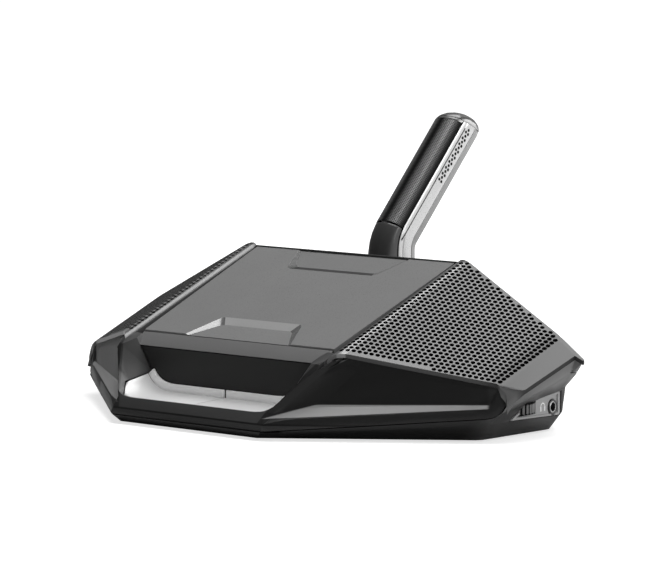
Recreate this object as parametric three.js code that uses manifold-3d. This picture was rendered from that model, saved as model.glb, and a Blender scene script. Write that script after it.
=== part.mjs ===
// Conference delegate unit: a low table-top talk unit with a sloped centre plate, a perforated
// loudspeaker grille on each wing, two talk keys in a front mouth, a control pocket with a
// volume wheel and a headphone jack at each end, and a microphone that plugs into the rear deck.
// Lengths are millimetres and angles degrees. X runs to the user's right, Y away from the user
// and Z up. The shapes are drawn with Y zero at the front foot edge and Z zero under the housing.

import * as THREE from "three";
import { mergeVertices } from "three/addons/utils/BufferGeometryUtils.js";
import Module from "manifold-3d";

const wasm = await Module();
wasm.setup();

// Fits that all pieces share
const seamGap = 0.35;
const restGap = 0.3;
const overrun = 6;
const wall = 2.6;

// Distance below which two corners of a skin are one
const mergeDistance = 1e-3;

// Crown: the roof that the centre plate and both grilles share, falling towards the user
const crownDegrees = 23.3;
const crownFrontY = 27.2;
const crownFrontZ = 33.9;
const crownBackY = 98.8;
const facetDegrees = 25.9;
const stripDegrees = 31.4;
const crestX = 62;
const crestRise = 1.1;
const sideFrontX = 123;
const sideFrontY = 64.7;
const stripWidth = 8;
const bendX = sideFrontX - stripWidth;
const tipSetback = 3.9;
const tipX = sideFrontX - tipSetback;
const tipY = 58.4;
const tipTurn = 1;
const tipDrop = 4.6;
const sideFlare = 1.6;
const sideBackX = sideFrontX + sideFlare;
const earReach = 3.6;
const earX = sideBackX + earReach;
const earLength = 1.6;
const earSetback = 4;
const earMargin = 0.7;
const earRootLength = 8;

// Foot and seam outline of the housing
const mouthCornerX = 42.4;
const mouthFrontY = -2.2;
const seamFrontZ = 3;
const wingEndSetback = 10.6;
const wingEndX = sideFrontX - wingEndSetback;
const wingEndY = 52.9;
const wingSeamZ = 9.1;
const wingTurn = 2.6;
const footInset = 3.6;
const footEndInset = 5.8;
const footEndSetback = 1.1;
const footRearInset = 8.3;
const footChamferZ = 6.4;
const chamferInset = 1.2;
const rearCornerSetback = 17.6;
const sideRearX = sideFrontX - rearCornerSetback;
const rearCornerY = 108.3;
const rearFlare = 2;
const sideBow = 0.1;
const bandLowFrontZ = 9.5;
const bandLowRearZ = 16.4;
const bandBulge = 1.6;
const rearHalfX = 72;
const rearY = 139;
const floorThickness = 2.4;

// Wing rims and their scooped recesses
const ridgeRise = 4.4;
const ridgeRiseEnd = 3.3;
const ridgeSetback = 1;
const creaseFrontRise = 9;
const creaseEndRise = 5.4;
const creaseDepth = 5.9;
const creaseDepthEnd = 2.2;
const creaseStartShare = 0.12;
const grilleFrontX = 61.7;
const grilleFrontY = 24.05;
const grilleEndSetback = 8.7;
const grilleEndX = sideFrontX - grilleEndSetback;
const grilleEndY = 57.9;
const frameDepth = 11;
const frontZoneDepth = 14;
const frameBackDepth = 3;
const frameBehindCrease = 2.8;
const frameRoot = 3;
const rimEndLength = 8.7;
const rimEndHeight = 6.5;

// Mouth with its ribbon
const ribbonFootY = -1.2;
const ribbonFootZ = 5.5;
const sillTopY = 1.3;
const sillTopZ = 9.9;
const ribbonTopY = 16.6;
const ribbonTurn = 2;
const mouthBackY = 21.8;
const mouthFloorFrontZ = 9.8;
const mouthFloorBackZ = 11.3;
const mouthFlatFront = 33;
const mouthFlatBack = 29;
const mouthTurnFront = 42.5;
const mouthTurnBack = 39.5;
const mouthSideFrontX = 45.6;
const mouthSideFrontZ = 12.9;
const mouthSideBackX = 43.6;
const mouthSideBackZ = 17.9;
const mouthLeanFrontShare = 1.25;
const mouthLeanBackShare = 0.606;
const frameBackY = 25.6;

// Talk keys, their switches and the light bars behind them
const keyThickness = 1.5;
const keyTravel = 0.7;
const keyClearance = 0.4;
const keyFrontY = 2.6;
const keySplit = 0.5;
const keyEndY = 10.5;
const wellFrontHalf = 39.8;
const wellSideHalf = 46.6;
const wellBackHalf = 48;
const stemX = 16;
const stemY = 13;
const stemSize = 3.4;
const switchSize = 6;
const switchHeight = 1.2;
const lightBarHeight = 2.8;
const lightBarDepth = 1.1;
const lightBarSplit = 1.4;
const backPanelThickness = 1.6;

// Centre plate and lip
const plateHalfFront = 53.9;
const plateHalfBack = 56.2;
const plateThickness = 2.2;
const recessDepth = 0.8;
const recessBevel = 2;
const recessSlant = 6.6;
const rearRecessHalf = 31.5;
const rearRecessLength = 15;
const frontRecessHalf = 30;
const frontRecessLength = 14.6;
const lipY = 21.8;
const lipZ = 28.8;
const lipThickness = 2.4;

// Grilles
const sheetThickness = 1.5;
const grilleInnerX = 57.4;
const rollFlange = 2.6;
const holeRadius = 1.3;
const holePitchX = 4.7;
const holePitchY = 5.3;
const holeMargin = 2.6;
const rearMargin = 4.2;
const clothThickness = 0.5;
const clothInset = 3;

// Inner chassis and loudspeakers
const chassisThickness = 2.2;
const chassisFrontY = 32;
const speakerX = 87;
const speakerY = 73;
const speakerRadius = 20;
const speakerFlange = 1.6;
const speakerDepth = 14;
const basketWall = 1.4;
const apertureRadius = 17.5;
const coneThickness = 0.8;
const coneClearance = 0.5;
const magnetRadius = 10.5;
const magnetHeight = 6;

// Rear cover
const deckDegrees = 33;
const deckStep = 5.5;
const deckThickness = 2.4;
const coverSplitZ = 24;
const crownWallDepth = 2.4;

// Control pockets
const pocketTipV = 13.7;
const pocketTipZ = 6.4;
const pocketEndV = 52.3;
const pocketEndZ = 5.1;
const pocketTopZ = 15.2;
const pocketMidV = 35.4;
const pocketMidZ = 13.6;
const pocketRiseV = 24.2;
const pocketRiseZ = 11.1;
const faceDepth = 1;
const faceEndV = 50.6;
const linerThickness = 0.8;
const panelFlange = 1.6;
const panelThickness = 1.8;
const wheelV = 27.2;
const wheelZ = 10.1;
const wheelRadius = 10.8;
const wheelWidth = 4.6;
const wheelProud = 1.3;
const wheelClearance = 0.4;
const wheelRibs = 24;
const wheelRibDepth = 0.5;
const shaftRadius = 1.5;
const shaftClearance = 0.08;
const potRadius = 3.6;
const potHeight = 3.6;
const jackV = 47.1;
const jackZ = 8.9;
const jackRadius = 3.1;
const jackBoreRadius = 1.8;
const jackLength = 12;
const jackProud = 0.3;
const jackBodySize = 7;
const jackBodyLength = 8;

// Board, network sockets, feet and screws
const boardHalfWidth = 66;
const boardFrontY = 7.5;
const boardBackY = 108;
const boardThickness = 1.6;
const boardCornerInset = 34;
const postRadius = 3;
const postInset = 18;
const postX = boardHalfWidth - postInset;
const postFrontY = 34;
const postBackInset = 10;
const postBackY = boardBackY - postBackInset;
const screwHeadRadius = 2.6;
const screwHeadHeight = 1.6;
const screwShankRadius = 1.2;
const screwLength = 5;
const socketWidth = 15.6;
const socketHeight = 13.2;
const socketLength = 16;
const socketPitch = 19;
const socketMouthWidth = 11.8;
const socketMouthHeight = 8;
const socketMouthDepth = 12;
const socketWall = 1.6;
const portRecess = 3;
const portMargin = 2;
const footPadRadius = 6;
const footPadHeight = 2;
const footPadProud = 0.9;
const footPadX = 84;
const footPadFrontX = 34;
const footPadFrontY = 12;
const footPadBackY = 86;

// Microphone, its bent stem and its socket
const micLeanDegrees = 41.5;
const micY = 117.1;
const micBendRadius = 17;
const micBendZ = 71.1;
const micFootZ = 56.6;
const micLength = 67.5;
const micHalfWidth = 7.8;
const micFrontHalf = 7.1;
const micBulge = 5;
const neckBulge = 8.8;
const meshSkirt = 1.2;
const micGrooveAt = 2.5;
const micGrooveDepth = 0.35;
const micSideEnd = 7.6;
const micDepth = 12.8;
const micRearHalf = 5.6;
const micFrameWall = 0.9;
const micShellThickness = 0.9;
const meshStart = 4.5;
const capLength = 6.5;
const meshEnd = micLength - capLength;
const capRound = 7;
const micEndSlope = 0.28;
const capSeamRise = 2;
const capMiddle = 7.2;
const capEndShare = 0.24;
const ventRadius = 0.42;
const ventSides = 4;
const ventCount = 9;
const ventEnd = 61.1;
const ventPitch = 3.2;
const ventRowGap = 0.78;
const ventAt = 4.75;
const capsuleRadius = 4.4;
const capsuleDepth = 2.6;
const capsuleAt = 46;
const capsulePitch = 22;
const micBoardThickness = 0.8;
const micBoardHalf = 4.6;
const plugHalfWidth = 5.4;
const plugDepth = 7;
const plugLength = 9;
const collarHalfWidth = 10.6;
const collarFront = 9;
const collarBack = 15.4;
const collarCorner = 3;
const collarBottomZ = 40;
const contactHeight = 3;

// Counts of facets
const arcSteps = 6;
const discSteps = 22;
const smallDiscSteps = 14;
const holeSides = 6;

const tangent = (degrees) => Math.tan(THREE.MathUtils.degToRad(degrees));
const cosine = (degrees) => Math.cos(THREE.MathUtils.degToRad(degrees));
const sine = (degrees) => Math.sin(THREE.MathUtils.degToRad(degrees));
const lerp = THREE.MathUtils.lerp;
const vector = (x, y, z) => new THREE.Vector3(x, y, z);

// Materials
const finish = (color, roughness, metalness = 0) => ({ color, roughness, metalness });
const finishes = {
  housing: finish(0x46474a, 0.55),
  frame: finish(0x3a3b3e, 0.5),
  plate: finish(0x6d6e70, 0.5),
  grille: finish(0x707174, 0.45, 0.3),
  black: finish(0x151517, 0.5),
  gloss: finish(0x1a1a1c, 0.15),
  key: finish(0xdfe0e2, 0.3, 0.4),
  light: finish(0xb4b5b7, 0.35),
  pocket: finish(0x9a9b9e, 0.5),
  metal: finish(0xc9cacc, 0.25, 0.9),
  silver: finish(0xdcdddf, 0.28, 0.7),
  shell: finish(0x9d9ea1, 0.35, 0.4),
  board: finish(0x1d5a38, 0.6),
  rubber: finish(0x1c1c1e, 0.9),
};

// Solids: a geometry's positions as a manifold, and back
function solid(geometry) {
  const bare = geometry.clone();
  bare.deleteAttribute("normal");
  bare.deleteAttribute("uv");
  const merged = mergeVertices(bare, mergeDistance);
  const vertProperties = merged.attributes.position.array;
  const triVerts = new Uint32Array(merged.index.array);
  const made = new wasm.Manifold(new wasm.Mesh({ numProp: 3, vertProperties, triVerts }));
  return made.volume() < 0 ? new wasm.Manifold(insideOut(vertProperties, triVerts)) : made;
}

function insideOut(vertProperties, triVerts) {
  return new wasm.Mesh({ numProp: 3, vertProperties, triVerts: triVerts.slice().reverse() });
}

function geometryOf(manifold) {
  const mesh = manifold.asOriginal().simplify(mergeDistance).getMesh();
  const geometry = new THREE.BufferGeometry();
  geometry.setAttribute("position", new THREE.BufferAttribute(mesh.vertProperties, mesh.numProp));
  geometry.setIndex(new THREE.BufferAttribute(mesh.triVerts, 1));
  return geometry;
}

const joined = (...parts) => wasm.Manifold.union(parts);
const cut = (base, ...tools) => base.subtract(wasm.Manifold.union(tools));
const common = (first, ...rest) => rest.reduce((left, next) => left.intersect(next), first);

// Extrusions of an outline, given as [a, b] pairs
function extruded(points, depth) {
  const shape = new THREE.Shape(points.map(([a, b]) => new THREE.Vector2(a, b)));
  return new THREE.ExtrudeGeometry(shape, { depth, bevelEnabled: false });
}

// Outline in X and Y, raised from one height to another
function planPrism(points, fromZ, toZ) {
  return solid(extruded(points, toZ - fromZ).translate(0, 0, fromZ));
}

// Outline in X and Z, run from one depth to another
function frontPrism(points, fromY, toY) {
  return solid(extruded(points, toY - fromY).rotateX(Math.PI / 2).translate(0, toY, 0));
}

// Outline in Y and Z, run from one X to another
function sidePrism(points, fromX, toX) {
  const turn = new THREE.Matrix4().makeBasis(vector(0, 1, 0), vector(0, 0, 1), vector(1, 0, 0));
  return solid(extruded(points, toX - fromX).applyMatrix4(turn).translate(fromX, 0, 0));
}

// Outline in the plane of a placed frame, run along that frame's third axis
function framedPrism(points, from, to, frame) {
  return solid(extruded(points, to - from).translate(0, 0, from).applyMatrix4(frame));
}

// Slab whose section in X and rise above the roof line is constant along the slope
function slopedPrism(points, fromY, toY, slope = crownDegrees, origin = [crownFrontY, crownFrontZ]) {
  const [originY, originZ] = origin;
  const shear = new THREE.Matrix4().makeShear(0, 0, 0, tangent(slope), 0, 0);
  const geometry = extruded(points, toY - fromY).rotateX(Math.PI / 2);
  geometry.translate(0, toY - originY, 0).applyMatrix4(shear).translate(0, originY, originZ);
  return solid(geometry);
}

function disc(radius, height, steps = discSteps) {
  return new THREE.CylinderGeometry(radius, radius, height, steps).rotateX(Math.PI / 2);
}

// Closed skin through a stack of rings with equal counts of points
function loft(rings, flatten = (point) => new THREE.Vector2(point.x, point.y)) {
  const count = rings[0].length;
  const positions = rings.flat().flatMap((point) => [point.x, point.y, point.z]);
  const index = [];
  for (let level = 0; level + 1 < rings.length; level += 1) {
    for (let i = 0; i < count; i += 1) {
      const next = (i + 1) % count;
      const [a, b] = [level * count + i, level * count + next];
      index.push(a, b, b + count, a, b + count, a + count);
    }
  }
  const caps = [
    [rings[0], 0, true],
    [rings[rings.length - 1], (rings.length - 1) * count, false],
  ];
  for (const [ring, offset, reversed] of caps) {
    const contour = ring.map(flatten);
    const turn = Math.sign(THREE.ShapeUtils.area(contour));
    for (const [a, b, c] of THREE.ShapeUtils.triangulateShape(contour, [])) {
      const area = THREE.ShapeUtils.area([contour[a], contour[b], contour[c]]);
      const flip = area * turn < 0 !== reversed;
      index.push(...(flip ? [a, c, b] : [a, b, c]).map((i) => i + offset));
    }
  }
  const geometry = new THREE.BufferGeometry();
  geometry.setAttribute("position", new THREE.Float32BufferAttribute(positions, 3));
  geometry.setIndex(index);
  return solid(geometry);
}

const inFront = (point) => new THREE.Vector2(point.x, point.z);

// Right-hand points and their mirror images as one closed outline
function mirrored(points) {
  const left = points.map((p) => (Array.isArray(p) ? [-p[0], p[1]] : vector(-p.x, p.y, p.z)));
  return [...points, ...left.reverse()];
}

// An outline moved inwards by a distance, each corner kept as a mitre. Heights are kept.
function inset(outline, distance) {
  const flat = outline.map((p) => (Array.isArray(p) ? vector(p[0], p[1], 0) : p));
  const turn = Math.sign(THREE.ShapeUtils.area(flat));
  return flat.map((point, i) => {
    const before = flat[(i + flat.length - 1) % flat.length];
    const after = flat[(i + 1) % flat.length];
    const normals = [
      [before, point],
      [point, after],
    ].map(([a, b]) => new THREE.Vector2(a.y - b.y, b.x - a.x).normalize().multiplyScalar(turn));
    const mitre = normals[0].clone().add(normals[1]);
    const reach = (2 * distance) / mitre.lengthSq();
    const moved = vector(point.x + mitre.x * reach, point.y + mitre.y * reach, point.z);
    return Array.isArray(outline[i]) ? [moved.x, moved.y] : moved;
  });
}

// Roof height above a plan point, and the rise of a facet above the centre plate's plane
function facetRise(x) {
  const outer = Math.max(Math.abs(x) - bendX, 0);
  const inner = Math.min(Math.abs(x), bendX) - crestX;
  return crestRise - inner * tangent(facetDegrees) - outer * tangent(stripDegrees);
}

function roofZ(x, y) {
  const rise = Math.abs(x) > crestX ? facetRise(x) : 0;
  return crownFrontZ + (y - crownFrontY) * tangent(crownDegrees) + rise;
}

// Section of everything under the roof, lowered by a drop, as wide as the widest outline
function roofSection(drop) {
  const floor = -2 * crownFrontZ - overrun;
  const top = [
    [earX + overrun, facetRise(earX + overrun) - drop],
    [bendX, facetRise(bendX) - drop],
    [crestX, crestRise - drop],
    [crestX - crestRise, crestRise - drop],
    [grilleInnerX, -drop],
  ];
  return mirrored([[earX + overrun, floor], ...top]);
}

function underRoof(drop, toY = crownBackY) {
  return slopedPrism(roofSection(drop), mouthFrontY - overrun, toY);
}

function underDeck(drop, fromY = crownBackY) {
  const deckZ = crownFrontZ + (crownBackY - crownFrontY) * tangent(crownDegrees) - deckStep;
  return slopedPrism(roofSection(drop), fromY, rearY + overrun, -deckDegrees, [crownBackY, deckZ]);
}

// Plan line of a wing, from the mouth corner to the wing end, and its upright frame
const wingRun = vector(wingEndX - mouthCornerX, wingEndY - mouthFrontY, 0);
const wingLength = wingRun.length();
const along = wingRun.clone().normalize();
const outward = vector(along.y, -along.x, 0);
const wingFrame = new THREE.Matrix4()
  .makeBasis(along, vector(0, 0, 1), outward)
  .setPosition(mouthCornerX, mouthFrontY, 0);

const acrossWing = (point) => new THREE.Vector2(point.dot(outward), point.z);

// Plan line of a side, from the wing end to the rear corner, and its upright frame
const sideStart = vector(wingEndX + wingTurn / 2, wingEndY + wingTurn, 0);
const sideRun = vector(sideRearX, rearCornerY, 0).sub(sideStart).normalize();
const sideOutward = vector(sideRun.y, -sideRun.x, 0);
const sideFrame = new THREE.Matrix4()
  .makeBasis(sideRun, vector(0, 0, 1), sideOutward)
  .setPosition(sideStart);

function onSide(v, height, depth) {
  return vector(v, height, -depth).applyMatrix4(sideFrame);
}

// A ring of the housing with two more corners along its slightly bowed side
const sideShares = [0.13, 0.93];

function withSide([mouth, end, start, rear, back]) {
  const side = sideShares.map((share) => {
    return start.clone().lerp(rear, share).addScaledVector(sideOutward, sideBow);
  });
  return [mouth, end, start, ...side, rear, back];
}

// Outer form of the housing, as rings from the foot to above the roof
function housingRings() {
  const stripZ = (x, y) => roofZ(x, y) - sheetThickness;
  const footFront = mouthFrontY + footInset / 2;
  const low = [
    vector(mouthCornerX, mouthFrontY + ridgeSetback, ribbonFootZ),
    vector(wingEndX + ridgeSetback, wingEndY, bandLowFrontZ),
    vector(sideStart.x + ridgeSetback, sideStart.y, bandLowFrontZ),
    vector(sideRearX, rearCornerY + rearFlare, bandLowRearZ),
    vector(rearHalfX, rearY, bandLowRearZ),
  ];
  const lower = [
    [
      vector(mouthCornerX - footInset, footFront, 0),
      vector(wingEndX - footEndInset, wingEndY + footEndSetback, 0),
      vector(sideStart.x - footEndInset, sideStart.y + footEndSetback, 0),
      vector(sideRearX, rearCornerY - footRearInset, 0),
      vector(rearHalfX, rearY - footRearInset, 0),
    ],
    [
      vector(mouthCornerX, mouthFrontY, seamFrontZ),
      vector(wingEndX - chamferInset, wingEndY, footChamferZ),
      vector(sideStart.x - chamferInset, sideStart.y, footChamferZ),
      vector(sideRearX, rearCornerY, footChamferZ),
      vector(rearHalfX, rearY, footChamferZ),
    ],
    low,
  ].map(withSide);
  const earY = crownBackY - earSetback;
  const tipZ = stripZ(tipX, tipY) - tipDrop;
  const edge = [
    vector(grilleFrontX, grilleFrontY, stripZ(grilleFrontX, grilleFrontY)),
    vector(tipX - tipTurn, tipY - tipTurn, tipZ),
    vector(tipX, tipY, tipZ),
    vector(sideFrontX, sideFrontY, stripZ(sideFrontX, sideFrontY)),
    vector(sideBackX, earY - earLength, stripZ(sideBackX, earY - earLength)),
    vector(earX - earMargin, earY, stripZ(earX - earMargin, earY)),
    vector(rearHalfX, rearY, coverSplitZ),
  ];
  const bulges = [0, 1, 1, 1, 1, 1 / 2, 0];
  const belly = edge.map((point, i) => {
    const middle = point.clone().lerp(lower[2][i], 1 / 2);
    return middle.add(vector(bulges[i] * bandBulge, 0, 0));
  });
  const above = edge.map((point) => vector(point.x, point.y, roofZ(0, rearY)));
  return [...lower, belly, edge, above].map(mirrored);
}

function housingForm() {
  const roofs = joined(underRoof(0), underDeck(0, crownBackY - crownWallDepth));
  return common(loft(housingRings()), roofs);
}

// Hollow of the housing: the same rings moved in by the wall and raised from the floor
function housingHollow(thickness) {
  const rings = housingRings().map((ring) => inset(ring, thickness));
  rings[0].forEach((point) => {
    point.z = floorThickness;
  });
  return loft(rings);
}

// Round end of a wing's band: shares of its length and of the height of its furthest point
const roundEndShares = [
  [0.44, 0.1],
  [0.72, 0.35],
  [0.9, 0.72],
  [1, 1],
  [0.98, 1.3],
  [0.88, 1.65],
  [0.7, 1.9],
  [0.5, 2.15],
];

// Upright band of a wing, grown by a gap
function wingBand(gap) {
  const seamAt = (u) => lerp(seamFrontZ, wingSeamZ, u / wingLength) - gap;
  const end = wingLength + rimEndLength + gap;
  const topZ = grilleTopZ(1) + overrun;
  const band = [
    [-overrun, seamAt(0)],
    [0, seamAt(0)],
    [wingLength, seamAt(wingLength)],
    ...roundEndShares.map(([run, rise]) => {
      return [wingLength + run * (end - wingLength), seamAt(wingLength) + rise * rimEndHeight];
    }),
    [wingLength, topZ],
    [-overrun, topZ + crownFrontZ],
  ];
  return framedPrism(band, -frontZoneDepth, 2 * overrun, wingFrame);
}

// Zone of the front frame: both wing bands, and the mouth between the wings
function frontZone(gap) {
  const wing = wingBand(gap);
  const middle = frontPrism(
    mirrored([
      [mouthCornerX + frameDepth / 2, seamFrontZ - gap],
      [mouthCornerX + frameDepth / 2, lipZ - overrun],
      [grilleFrontX, lipZ - overrun],
      [grilleFrontX, 2 * crownFrontZ],
    ]),
    mouthFrontY - 2 * overrun,
    crownFrontY + gap,
  );
  return joined(wing, mirrorX(wing), middle);
}

function mirrorX(manifold) {
  return solid(geometryOf(manifold).scale(-1, 1, 1));
}

// Grille front edge of the right wing at a share of its length
function grilleEdge(share) {
  const x = lerp(grilleFrontX, grilleEndX, share);
  const y = lerp(grilleFrontY, grilleEndY, share);
  return vector(x, y, grilleTopZ(share));
}

function grilleTopZ(share) {
  const x = lerp(grilleFrontX, grilleEndX, share);
  const y = lerp(grilleFrontY, grilleEndY, share);
  return roofZ(Math.max(x, crestX), y) - sheetThickness - restGap;
}

// Arris between the mouth ribbon and the wing: shares of the way from its foot to its top
const arrisShares = [
  [0, 0, 0],
  [0.085, 0.22, 0.18],
  [0.285, 0.38, 0.36],
  [0.455, 0.505, 0.52],
  [0.66, 0.66, 0.71],
  [0.83, 0.8, 0.865],
  [1, 1, 1],
];

function arris() {
  const foot = vector(mouthCornerX, ribbonFootY, ribbonFootZ);
  const top = grilleEdge(0);
  return arrisShares.map(([x, y, z]) => {
    return vector(lerp(foot.x, top.x, x), lerp(foot.y, top.y, y), lerp(foot.z, top.z, z));
  });
}

// Sections of the wing skin at shares of its length: seam, ridge, crease, wall and grille edge
function wingSections() {
  const face = arris();
  const openShares = [0, 0.05, 0.1, 0.16, 0.24, 0.42, 0.6, 0.78, 0.9, 0.955];
  const full = (t) => THREE.MathUtils.smoothstep(t, 0, openShares[3]);
  const rows = (t) => {
    const base = vector(mouthCornerX, mouthFrontY, 0).addScaledVector(along, wingLength * t);
    const seamZ = lerp(seamFrontZ, wingSeamZ, t);
    const lift = (depth, z) => base.clone().addScaledVector(outward, -depth).setZ(z);
    const ridge = lift(ridgeSetback, seamZ + lerp(ridgeRise, ridgeRiseEnd, t));
    const creaseRun = wingLength * lerp(creaseStartShare, 1, t);
    const crease = vector(mouthCornerX, mouthFrontY, 0).addScaledVector(along, creaseRun);
    crease.addScaledVector(outward, -lerp(creaseDepth, creaseDepthEnd, t));
    crease.setZ(seamZ + lerp(creaseFrontRise, creaseEndRise, t));
    const top = grilleEdge(t);
    const wallShares = face.slice(2, -1).map((point, i, all) => (i + 1) / (all.length + 1));
    const skin = [ridge, crease, ...wallShares.map((share) => crease.clone().lerp(top, share))];
    const blended = skin.map((point, i) => face[i].clone().lerp(point, full(t)));
    const behind = lerp(creaseDepth, creaseDepthEnd, t) + frameBehindCrease;
    return [
      lift(0, seamZ),
      ...blended,
      top,
      top.clone().addScaledVector(outward, -frameBackDepth),
      lift(behind, seamZ),
    ];
  };
  const open = openShares.map(rows);
  const rooted = open[0].map((point) => point.clone().add(vector(-frameRoot, frameRoot / 2, 0)));
  return [rooted, ...open, ...closedEnd(rows(1))];
}

// The rim's round end: the recess runs out and the face is whole. Each row is a share of the
// way up the face, and the share of the ridge's setback that is left there.
const rimEndShares = [
  [0.4, 0.2],
  [0.5, 1],
  [0.58, 1],
  [0.66, 0.9],
  [0.76, 0.7],
  [0.88, 0.4],
];

function closedEnd(section) {
  const seam = section[0];
  const [top, backTop, backSeam] = section.slice(-3);
  const faceAt = (share) => seam.clone().lerp(top, share);
  const sunk = rimEndShares.map(([share, depthShare]) => {
    return faceAt(share).addScaledVector(outward, -depthShare * ridgeSetback);
  });
  const whole = rimEndShares.map(([share]) => faceAt(share));
  const ring = (skin, shift) => {
    return [seam, ...skin, top, backTop, backSeam].map((p) => p.clone().addScaledVector(along, shift));
  };
  return [ring(sunk, 0), ring(whole, ridgeSetback), ring(whole, rimEndLength)];
}

// Right half of the mouth's outline at a depth, from the centre round the corner and up the side
function mouthCurve(y, offset = 0) {
  const share = y / mouthBackY;
  const at = (front, back) => lerp(front, back, share);
  const floorZ = at(mouthFloorFrontZ, mouthFloorBackZ);
  const side = [at(mouthSideFrontX, mouthSideBackX), at(mouthSideFrontZ, mouthSideBackZ)];
  const path = new THREE.Path();
  path.moveTo(0, floorZ);
  path.lineTo(at(mouthFlatFront, mouthFlatBack), floorZ);
  path.quadraticCurveTo(at(mouthTurnFront, mouthTurnBack), floorZ, side[0], side[1]);
  const points = path.getPoints(arcSteps).map((p) => [p.x, p.y]);
  return offset === 0 ? points : shifted(points, offset);
}

// An open line moved sideways, away from the mouth when the distance is positive
function shifted(points, distance) {
  return points.map(([x, z], i) => {
    const [ax, az] = points[Math.max(i - 1, 0)];
    const [bx, bz] = points[Math.min(i + 1, points.length - 1)];
    const span = Math.hypot(bx - ax, bz - az);
    return [x + ((bz - az) / span) * distance, z - ((bx - ax) / span) * distance];
  });
}

function mouthLean(y) {
  return lerp(mouthLeanFrontShare, mouthLeanBackShare, y / mouthBackY);
}

// Full mouth outline at a depth, carried up past the roof, with its sides moved out by a gap
function mouthRing(y, gap = 0) {
  const curve = mouthCurve(y, gap).slice(1);
  const [endX, endZ] = curve[curve.length - 1];
  const topZ = roofZ(0, mouthBackY) + overrun;
  const open = [...curve, [endX + (topZ - endZ) * mouthLean(y), topZ]];
  return mirrored(open.map(([x, z]) => vector(x, y, z)));
}

function mouthOpening(gap) {
  const depths = [mouthFrontY - overrun, sillTopY, mouthBackY / 4, mouthBackY / 2, mouthBackY];
  const rings = depths.map((y) => mouthRing(y, gap));
  const deep = rings.at(-1).map((point) => point.clone().setY(crownFrontY + overrun));
  return loft([...rings, deep], inFront);
}

// Space of the keys under the mouth's floor, open down to the board
function keyWell() {
  const depth = keyThickness + keyTravel + keyClearance;
  const ring = (y) => {
    const curve = mouthCurve(y, depth);
    const [endX, endZ] = mouthCurve(y).at(-1);
    const [lowX] = curve.at(-1);
    const points = [
      [lowX, seamFrontZ - overrun],
      [lowX, endZ + keyClearance],
      [endX - keyThickness, endZ + keyClearance],
    ];
    return mirrored(points.map(([x, z]) => vector(x, y, z)));
  };
  const well = loft([ring(keyFrontY - keyClearance), ring(mouthBackY + restGap)], inFront);
  return well.intersect(keyPlan(keyClearance));
}

// Plan of the keys, kept clear of the wing behind the ribbon
function keyPlan(grow) {
  const outline = mirrored([
    [wellFrontHalf, mouthFrontY],
    [wellFrontHalf, keyFrontY],
    [wellSideHalf, keyEndY],
    [wellBackHalf, mouthBackY + overrun],
  ]);
  return planPrism(inset(outline, -grow), seamFrontZ - overrun, lipZ);
}

function frontFrame() {
  const face = arris();
  const outline = [
    [mouthCornerX, seamFrontZ],
    ...face.map((point) => [point.x, point.z]),
    [face.at(-1).x, 2 * crownFrontZ],
  ];
  const profile = [
    [mouthFrontY, seamFrontZ],
    [ribbonFootY, ribbonFootZ],
    [sillTopY, sillTopZ],
    [ribbonTopY, roofZ(0, ribbonTopY)],
    [ribbonTopY + overrun, 2 * crownFrontZ],
    [frameBackY, 2 * crownFrontZ],
    [frameBackY, seamFrontZ],
  ];
  const block = common(
    frontPrism(mirrored(outline), mouthFrontY - overrun, frameBackY),
    sidePrism(profile, -grilleEndX, grilleEndX),
  );
  const wing = common(loft(wingSections(), acrossWing), wingBand(0));
  const middle = [
    [grilleInnerX - seamGap, ribbonTopY - overrun],
    [grilleInnerX - seamGap, crownFrontY + overrun],
  ];
  const betweenGrilles = planPrism(mirrored(middle), -overrun, 3 * crownFrontZ);
  const edge = ribbonEdge();
  const whole = joined(cut(block, edge, mirrorX(edge)), wing, mirrorX(wing));
  const roof = common(joined(underRoof(sheetThickness + restGap), betweenGrilles), underRoof(0));
  const trimmed = common(whole, roof);
  return cut(trimmed, mouthOpening(0), keyWell(), plateSeat(), boardSlot(), ...lappetRoom());
}

// Front of the ribbon at a height, and what is cut off so that its outer edge meets the arris
function ribbonY(z) {
  const top = roofZ(0, ribbonTopY);
  if (z < sillTopZ) {
    return lerp(ribbonFootY, sillTopY, (z - ribbonFootZ) / (sillTopZ - ribbonFootZ));
  }
  return lerp(sillTopY, ribbonTopY, (z - sillTopZ) / (top - sillTopZ));
}

function ribbonEdge() {
  const rings = arris().map(({ x, y, z }) => {
    const front = Math.min(ribbonY(z), y - restGap);
    const near = vector(x - ribbonTurn, front, z);
    const run = near.clone().sub(vector(x, y, z));
    return [
      vector(x + overrun, y, z),
      vector(x, y, z),
      near.clone().add(run),
      vector(x + overrun, front - overrun, z),
    ];
  });
  return loft(rings);
}

// Room for the centre plate behind the lip
function plateSeat() {
  const section = mirrored([
    [grilleInnerX, -plateThickness - restGap],
    [grilleInnerX, plateThickness],
  ]);
  return slopedPrism(section, crownFrontY - seamGap, crownBackY);
}

// Room for the front of the board under the keys
function boardSlot() {
  const top = floorThickness + restGap + boardThickness + switchHeight + 2 * restGap;
  return planPrism(inset(boardOutline(), -keyClearance), -overrun, top);
}

function boardOutline() {
  return mirrored([
    [boardHalfWidth - boardCornerInset, boardFrontY],
    [boardHalfWidth, boardFrontY + boardCornerInset],
    [boardHalfWidth, boardBackY],
  ]);
}

function topPlate() {
  const section = mirrored([
    [plateHalfBack + overrun, -plateThickness],
    [plateHalfBack + overrun, 0],
  ]);
  const outline = mirrored([
    [plateHalfFront, crownFrontY],
    [plateHalfBack, crownBackY],
  ]);
  const plate = common(
    slopedPrism(section, crownFrontY, crownBackY),
    planPrism(outline, -overrun, 3 * crownFrontZ),
  );
  return cut(
    plate,
    plateRecess(rearRecessHalf, crownBackY, -rearRecessLength),
    plateRecess(frontRecessHalf, crownFrontY, frontRecessLength),
  );
}

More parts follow.
